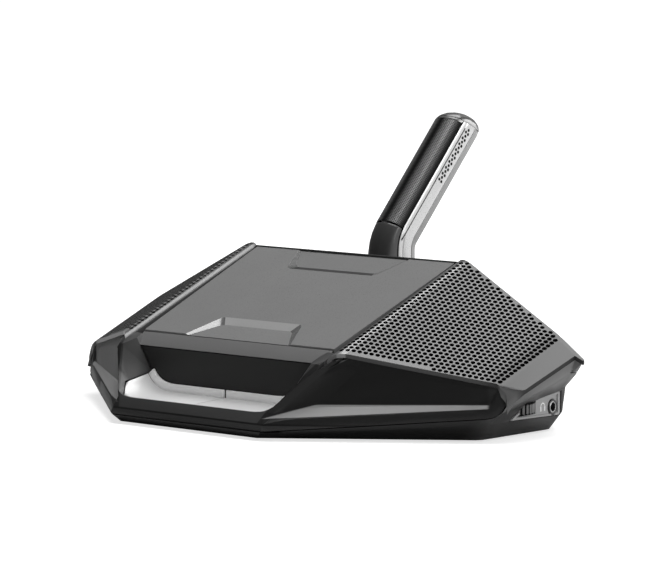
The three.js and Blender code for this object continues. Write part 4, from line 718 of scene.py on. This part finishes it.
def mic_mesh():
    wide = MESH_ACROSS + 1
    points = [mic_front(math.pi * i / MESH_ACROSS, j / MESH_ALONG)
              for j in range(MESH_ALONG + 1) for i in range(wide)]
    faces = [(k, k + 1, k + wide + 1, k + wide)
             for j in range(MESH_ALONG) for k in range(j * wide, j * wide + MESH_ACROSS)]
    mesh = piece("mic_wire_mesh", points, faces, "wire")
    work = bmesh.new()
    work.from_mesh(mesh.data)
    cells = work.faces[:]
    bmesh.ops.inset_individual(work, faces=cells, thickness=WIRE_HALF * MM)
    bmesh.ops.delete(work, geom=cells, context="FACES")
    work.to_mesh(mesh.data)
    work.free()
    thick = mesh.modifiers.new("thick", "SOLIDIFY")
    thick.thickness = WIRE_THICK * MM
    thick.offset = -1
    settle(mesh)
    smooth(mesh, angle=50)
    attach(mesh, "microphone")
    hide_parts("mic_mesh")


def mic_foam():
    """Dark backing behind the mesh, one shell round the front and back again deeper in."""
    rings = []
    for share in (FOAM_MARGIN, 1 - FOAM_MARGIN):
        angles = [math.pi * i / FOAM_STEPS for i in range(FOAM_STEPS + 1)]
        rings.append([mic_front(angle, share, FOAM_FRONT) for angle in angles]
                     + [mic_front(angle, share, FOAM_BACK) for angle in angles[::-1]])
    backing = stack("mic_foam", rings, "cloth")
    smooth(backing)
    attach(backing, "microphone")


def mic_vents():
    """Black discs set over three staggered rows of vents on each side, making the vents dark."""
    def place(spot, a, b, proud):
        side, depth, length = spot
        return on_mic(side * (MIC_HALF + proud), depth + VENT_RADIUS * a, length + VENT_RADIUS * b)

    spots = [(side, VENT_DEPTH + VENT_SPREAD * row,
              VENT_START - VENT_PITCH * i - (VENT_PITCH / 2 if row else 0))
             for side in (1, -1) for row in (-1, 0, 1) for i in range(VENT_COUNT)]
    vents = pegs("mic_vents", spots, place, VENT_SIDES, (-VENT_SINK, VENT_PROUD), "cloth")
    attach(vents, "microphone")


def mic_groove_shade():
    """Dark strip laid along the groove in both side faces of the microphone: painted shade of the
    groove.
    """
    section = [(GROOVE_FRONT, -GROOVE_SINK), (GROOVE_FRONT, GROOVE_PROUD),
               (GROOVE_BACK, GROOVE_PROUD), (GROOVE_BACK, -GROOVE_SINK)]
    for name, side in (("mic_groove_shade_right", 1), ("mic_groove_shade_left", -1)):
        line = prism(name, section, 0, GROOVE_END, lambda depth, proud, length: on_mic(
            side * (MIC_HALF + proud), depth, length), "trim_and_shade")
        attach(line, "microphone")


# Side pockets: the wheel's ribs, the jack's rings and the headphone mark
FACE_DEPTH = 1.0
WHEEL_LOW, WHEEL_HIGH = (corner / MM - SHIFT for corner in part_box("volume_wheel_right"))
WHEEL_MIDDLE = (WHEEL_LOW + WHEEL_HIGH) / 2
WHEEL_RADIUS, WHEEL_HALF = (WHEEL_HIGH.x - WHEEL_LOW.x) / 2, (WHEEL_HIGH.z - WHEEL_LOW.z) / 2
WHEEL_EDGE = [(-1, 0.7), (-0.86, 0.25), (-0.75, 0), (0.75, 0), (0.86, 0.25), (1, 0.7)]
WHEEL_RIBS, RIB_DEPTH, RIB_STEPS, RIB_CROWN = 30, 1.1, 8, 0.4
JACK_V, JACK_Z, JACK_STEPS = 47.1, 8.9, 40
COLLAR = [(3.1, 1.0), (3.1, 0.55), (2.85, 0.35), (2.5, 0.35), (2.35, 0.5), (2.35, 1.0)]
RING = [(2.32, 1.0), (2.32, 0.55), (2.15, 0.45), (1.9, 0.5), (1.82, 0.7), (1.82, 1.0)]
MARK_V, MARK_Z, MARK_SINK, MARK_PROUD = 39.9, 9.5, 0.08, 0.1
BAND_RADIUS, BAND_WIDTH, BAND_RISE, BAND_STEPS = 1.7, 0.42, 0.15, 12
PAD_OUT, PAD_IN, PAD_TOP, PAD_FOOT = 1.85, 1.05, 0.2, -1.6


def on_side(v, z, depth=0.0):
    plan = SIDE_START + SIDE_RUN * v - SIDE_OUT * depth
    return plan.x, plan.y, z


def volume_wheel():
    """Thumb wheel with rounded ribs round its rim and a chamfer at both faces. Its rib crests are
    painted light grey as a highlight, and its grooves black as painted shade.
    """
    count = WHEEL_RIBS * RIB_STEPS
    rings = []
    for z, inset in WHEEL_EDGE:
        ring = []
        for k in range(count):
            angle = 2 * math.pi * k / count
            groove = RIB_DEPTH * (0.5 - 0.5 * math.cos(angle * WHEEL_RIBS))
            radius = WHEEL_RADIUS - inset - groove
            ring.append(WHEEL_MIDDLE + Vector((radius * math.cos(angle),
                                               radius * math.sin(angle), z * WHEEL_HALF)))
        rings.append(ring)
    wheel = stack("volume_ribs", rings, "rib_highlight")
    # The grooves take the black as painted shade
    wheel.data.materials.append(MATERIALS["cloth"])
    middle = at(*WHEEL_MIDDLE)
    for face in wheel.data.polygons:
        if (face.center - middle).xy.length < (WHEEL_RADIUS - RIB_DEPTH * RIB_CROWN) * MM:
            face.material_index = 1
    smooth(wheel, angle=40)
    both_sides(wheel, "volume_ribs", "volume_wheel_{side}", "volume_wheel")


def jack_part(name, profile, look):
    """Ring turned about the jack's axis, on both sides: its profile is in radius and depth."""
    turns = [2 * math.pi * k / JACK_STEPS for k in range(JACK_STEPS)]
    rings = [[on_side(JACK_V + radius * math.cos(a), JACK_Z + radius * math.sin(a), depth)
              for a in turns] for radius, depth in profile + profile[:1]]
    made = stack(name, rings, look, closed=False)
    smooth(made, angle=40)
    both_sides(made, name)


def headphone_mark():
    """Generic headphone sign: a headband arc and two ear pads, printed proud of the face."""
    turns = [math.pi * k / BAND_STEPS for k in range(BAND_STEPS + 1)]
    outer, inner = ([(radius * math.cos(a), BAND_RISE + radius * math.sin(a)) for a in turns]
                    for radius in (BAND_RADIUS, BAND_RADIUS - BAND_WIDTH))
    pads = [[(side * PAD_OUT, PAD_TOP), (side * PAD_OUT, PAD_FOOT),
             (side * PAD_IN, PAD_FOOT), (side * PAD_IN, PAD_TOP)] for side in (1, -1)]
    for i, shape in enumerate((outer + inner[::-1], *pads)):
        mark = prism(f"headphone_mark_{i}", shape, FACE_DEPTH - MARK_SINK, FACE_DEPTH + MARK_PROUD,
                     lambda a, b, c: on_side(MARK_V + a, MARK_Z + b, c), "mark")
        both_sides(mark, f"headphone_mark_{i}")


top_plate()
front_lip()
rear_rim()
grille()
mic_mesh()
mic_foam()
mic_vents()
mic_groove_shade()
volume_wheel()
jack_part("jack_collar", COLLAR, "gloss")
jack_part("jack_ring", RING, "metal")
headphone_mark()
for name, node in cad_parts.items():
    dress(node, look_of(name))

# Stage: a pale floor and sky that look white to the camera and to gloss turned to the back right
BACK_RIGHT = (0.68, 0.73, 0)
FLOOR_HALF, FLOOR_COLOUR, FLOOR_ROUGH = 30, (0.55, 0.55, 0.55, 1), 0.9
GLOW_FROM, GLOW_TO, NEAR_WHITE, FAR_SHINE = 0.15, 0.9, 0.7, 0.9
FLOOR_TURN, SKY_TURN = (0, 0.5), (0.2, 0.9)
SKY = 0.12
WHITE = (1, 1, 1, 1)


def floor_glow(tree, away, near, far, ray):
    """Strength that grows away from the unit, for one kind of ray."""
    ramp = add(tree, "ShaderNodeMapRange", From_Min=GLOW_FROM, From_Max=GLOW_TO,
               To_Min=near, To_Max=far)
    tree.links.new(away, ramp.inputs["Value"])
    return product(tree, ramp.outputs["Result"], ray)


def floor_paint():
    made = bpy.data.materials.new("pale_floor")
    made.use_nodes = True
    tree = made.node_tree
    surface = tree.nodes["Principled BSDF"]
    surface.inputs["Base Color"].default_value = FLOOR_COLOUR
    surface.inputs["Roughness"].default_value = FLOOR_ROUGH
    surface.inputs["Specular IOR Level"].default_value = 0
    rays = add(tree, "ShaderNodeLightPath").outputs
    place = add(tree, "ShaderNodeTexCoord").outputs["Object"]
    away = add(tree, "ShaderNodeVectorMath", "LENGTH")
    tree.links.new(place, away.inputs[0])
    distance = away.outputs["Value"]
    towards = zone_mask(tree, place, BACK_RIGHT, *FLOOR_TURN, alike=False)
    shine = floor_glow(tree, distance, 0, FAR_SHINE, rays["Is Glossy Ray"])
    both = add(tree, "ShaderNodeMath")
    tree.links.new(floor_glow(tree, distance, NEAR_WHITE, 1, rays["Is Camera Ray"]), both.inputs[0])
    tree.links.new(product(tree, shine, towards), both.inputs[1])
    glow = add(tree, "ShaderNodeEmission")
    tree.links.new(both.outputs["Value"], glow.inputs["Strength"])
    total = add(tree, "ShaderNodeAddShader")
    tree.links.new(surface.outputs["BSDF"], total.inputs[0])
    tree.links.new(glow.outputs["Emission"], total.inputs[1])
    tree.links.new(total.outputs["Shader"], tree.nodes["Material Output"].inputs["Surface"])
    return made


def wide_floor():
    corners = [(x * FLOOR_HALF, y * FLOOR_HALF, 0) for x, y in ((-1, -1), (1, -1), (1, 1), (-1, 1))]
    mesh = bpy.data.meshes.new("floor")
    mesh.from_pydata(corners, [], [(0, 1, 2, 3)])
    mesh.materials.append(floor_paint())
    floor = new_object("floor", mesh)
    floor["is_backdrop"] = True


def mix_light(tree, share, first, second):
    mix = add(tree, "ShaderNodeMixShader")
    tree.links.new(share, mix.inputs["Fac"])
    tree.links.new(first, mix.inputs[1])
    tree.links.new(second, mix.inputs[2])
    return mix.outputs["Shader"]


def studio():
    world = bpy.data.worlds.new("studio")
    bpy.context.scene.world = world
    world.use_nodes = True
    tree = world.node_tree
    sky = tree.nodes["Background"]
    sky.inputs["Color"].default_value = WHITE
    sky.inputs["Strength"].default_value = SKY
    white = add(tree, "ShaderNodeBackground", Color=WHITE).outputs["Background"]
    rays = add(tree, "ShaderNodeLightPath").outputs
    place = add(tree, "ShaderNodeTexCoord").outputs["Generated"]
    back_right = zone_mask(tree, place, BACK_RIGHT, *SKY_TURN, alike=False)
    shone = product(tree, rays["Is Glossy Ray"], back_right)
    lit = mix_light(tree, shone, sky.outputs["Background"], white)
    seen = mix_light(tree, rays["Is Camera Ray"], lit, white)
    tree.links.new(seen, tree.nodes["World Output"].inputs["Surface"])


def softbox(name, place, size, power, target=(0, 0, 0.03)):
    lamp = bpy.data.lights.new(name, "AREA")
    lamp.shape = "RECTANGLE"
    lamp.size, lamp.size_y = size
    lamp.energy = power
    made = new_object(name, lamp)
    made.location = place
    made.rotation_euler = (Vector(target) - Vector(place)).to_track_quat("-Z", "Y").to_euler()


wide_floor()
studio()
softbox("top_box", (0.1, 0.4, 1.55), (1.6, 1.4), 34)
softbox("right_box", (1.6, 0.3, 0.9), (0.8, 1.0), 8)

# Camera, solved from points in the photograph
PHOTO_WIDTH, FOCAL, SENSOR = 665, 4418.952, 36
CAMERA_RIGHT = Vector((0.72884974, 0.68467369, 0))
CAMERA_UP = Vector((-0.06562306, 0.06985714, 0.9953962))
CAMERA_BACK = Vector((0.68152159, -0.72549426, 0.09584574))
CAMERA_PLACE = (1252.2035, -1248.2316, 230.2342)

lens = bpy.data.cameras.new("camera")
lens.sensor_width = SENSOR
lens.lens = SENSOR * FOCAL / PHOTO_WIDTH
lens.clip_start, lens.clip_end = 0.05, 100
camera = new_object("camera", lens)
turn = Matrix((CAMERA_RIGHT, CAMERA_UP, CAMERA_BACK)).transposed().to_4x4()
camera.matrix_world = Matrix.Translation(at(*CAMERA_PLACE)) @ turn
bpy.context.scene.camera = camera
bpy.context.scene.view_settings.view_transform = "Standard"

shown_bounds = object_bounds()
sizes = [[list(corner) for corner in box] for box in (cad_bounds, shown_bounds)]
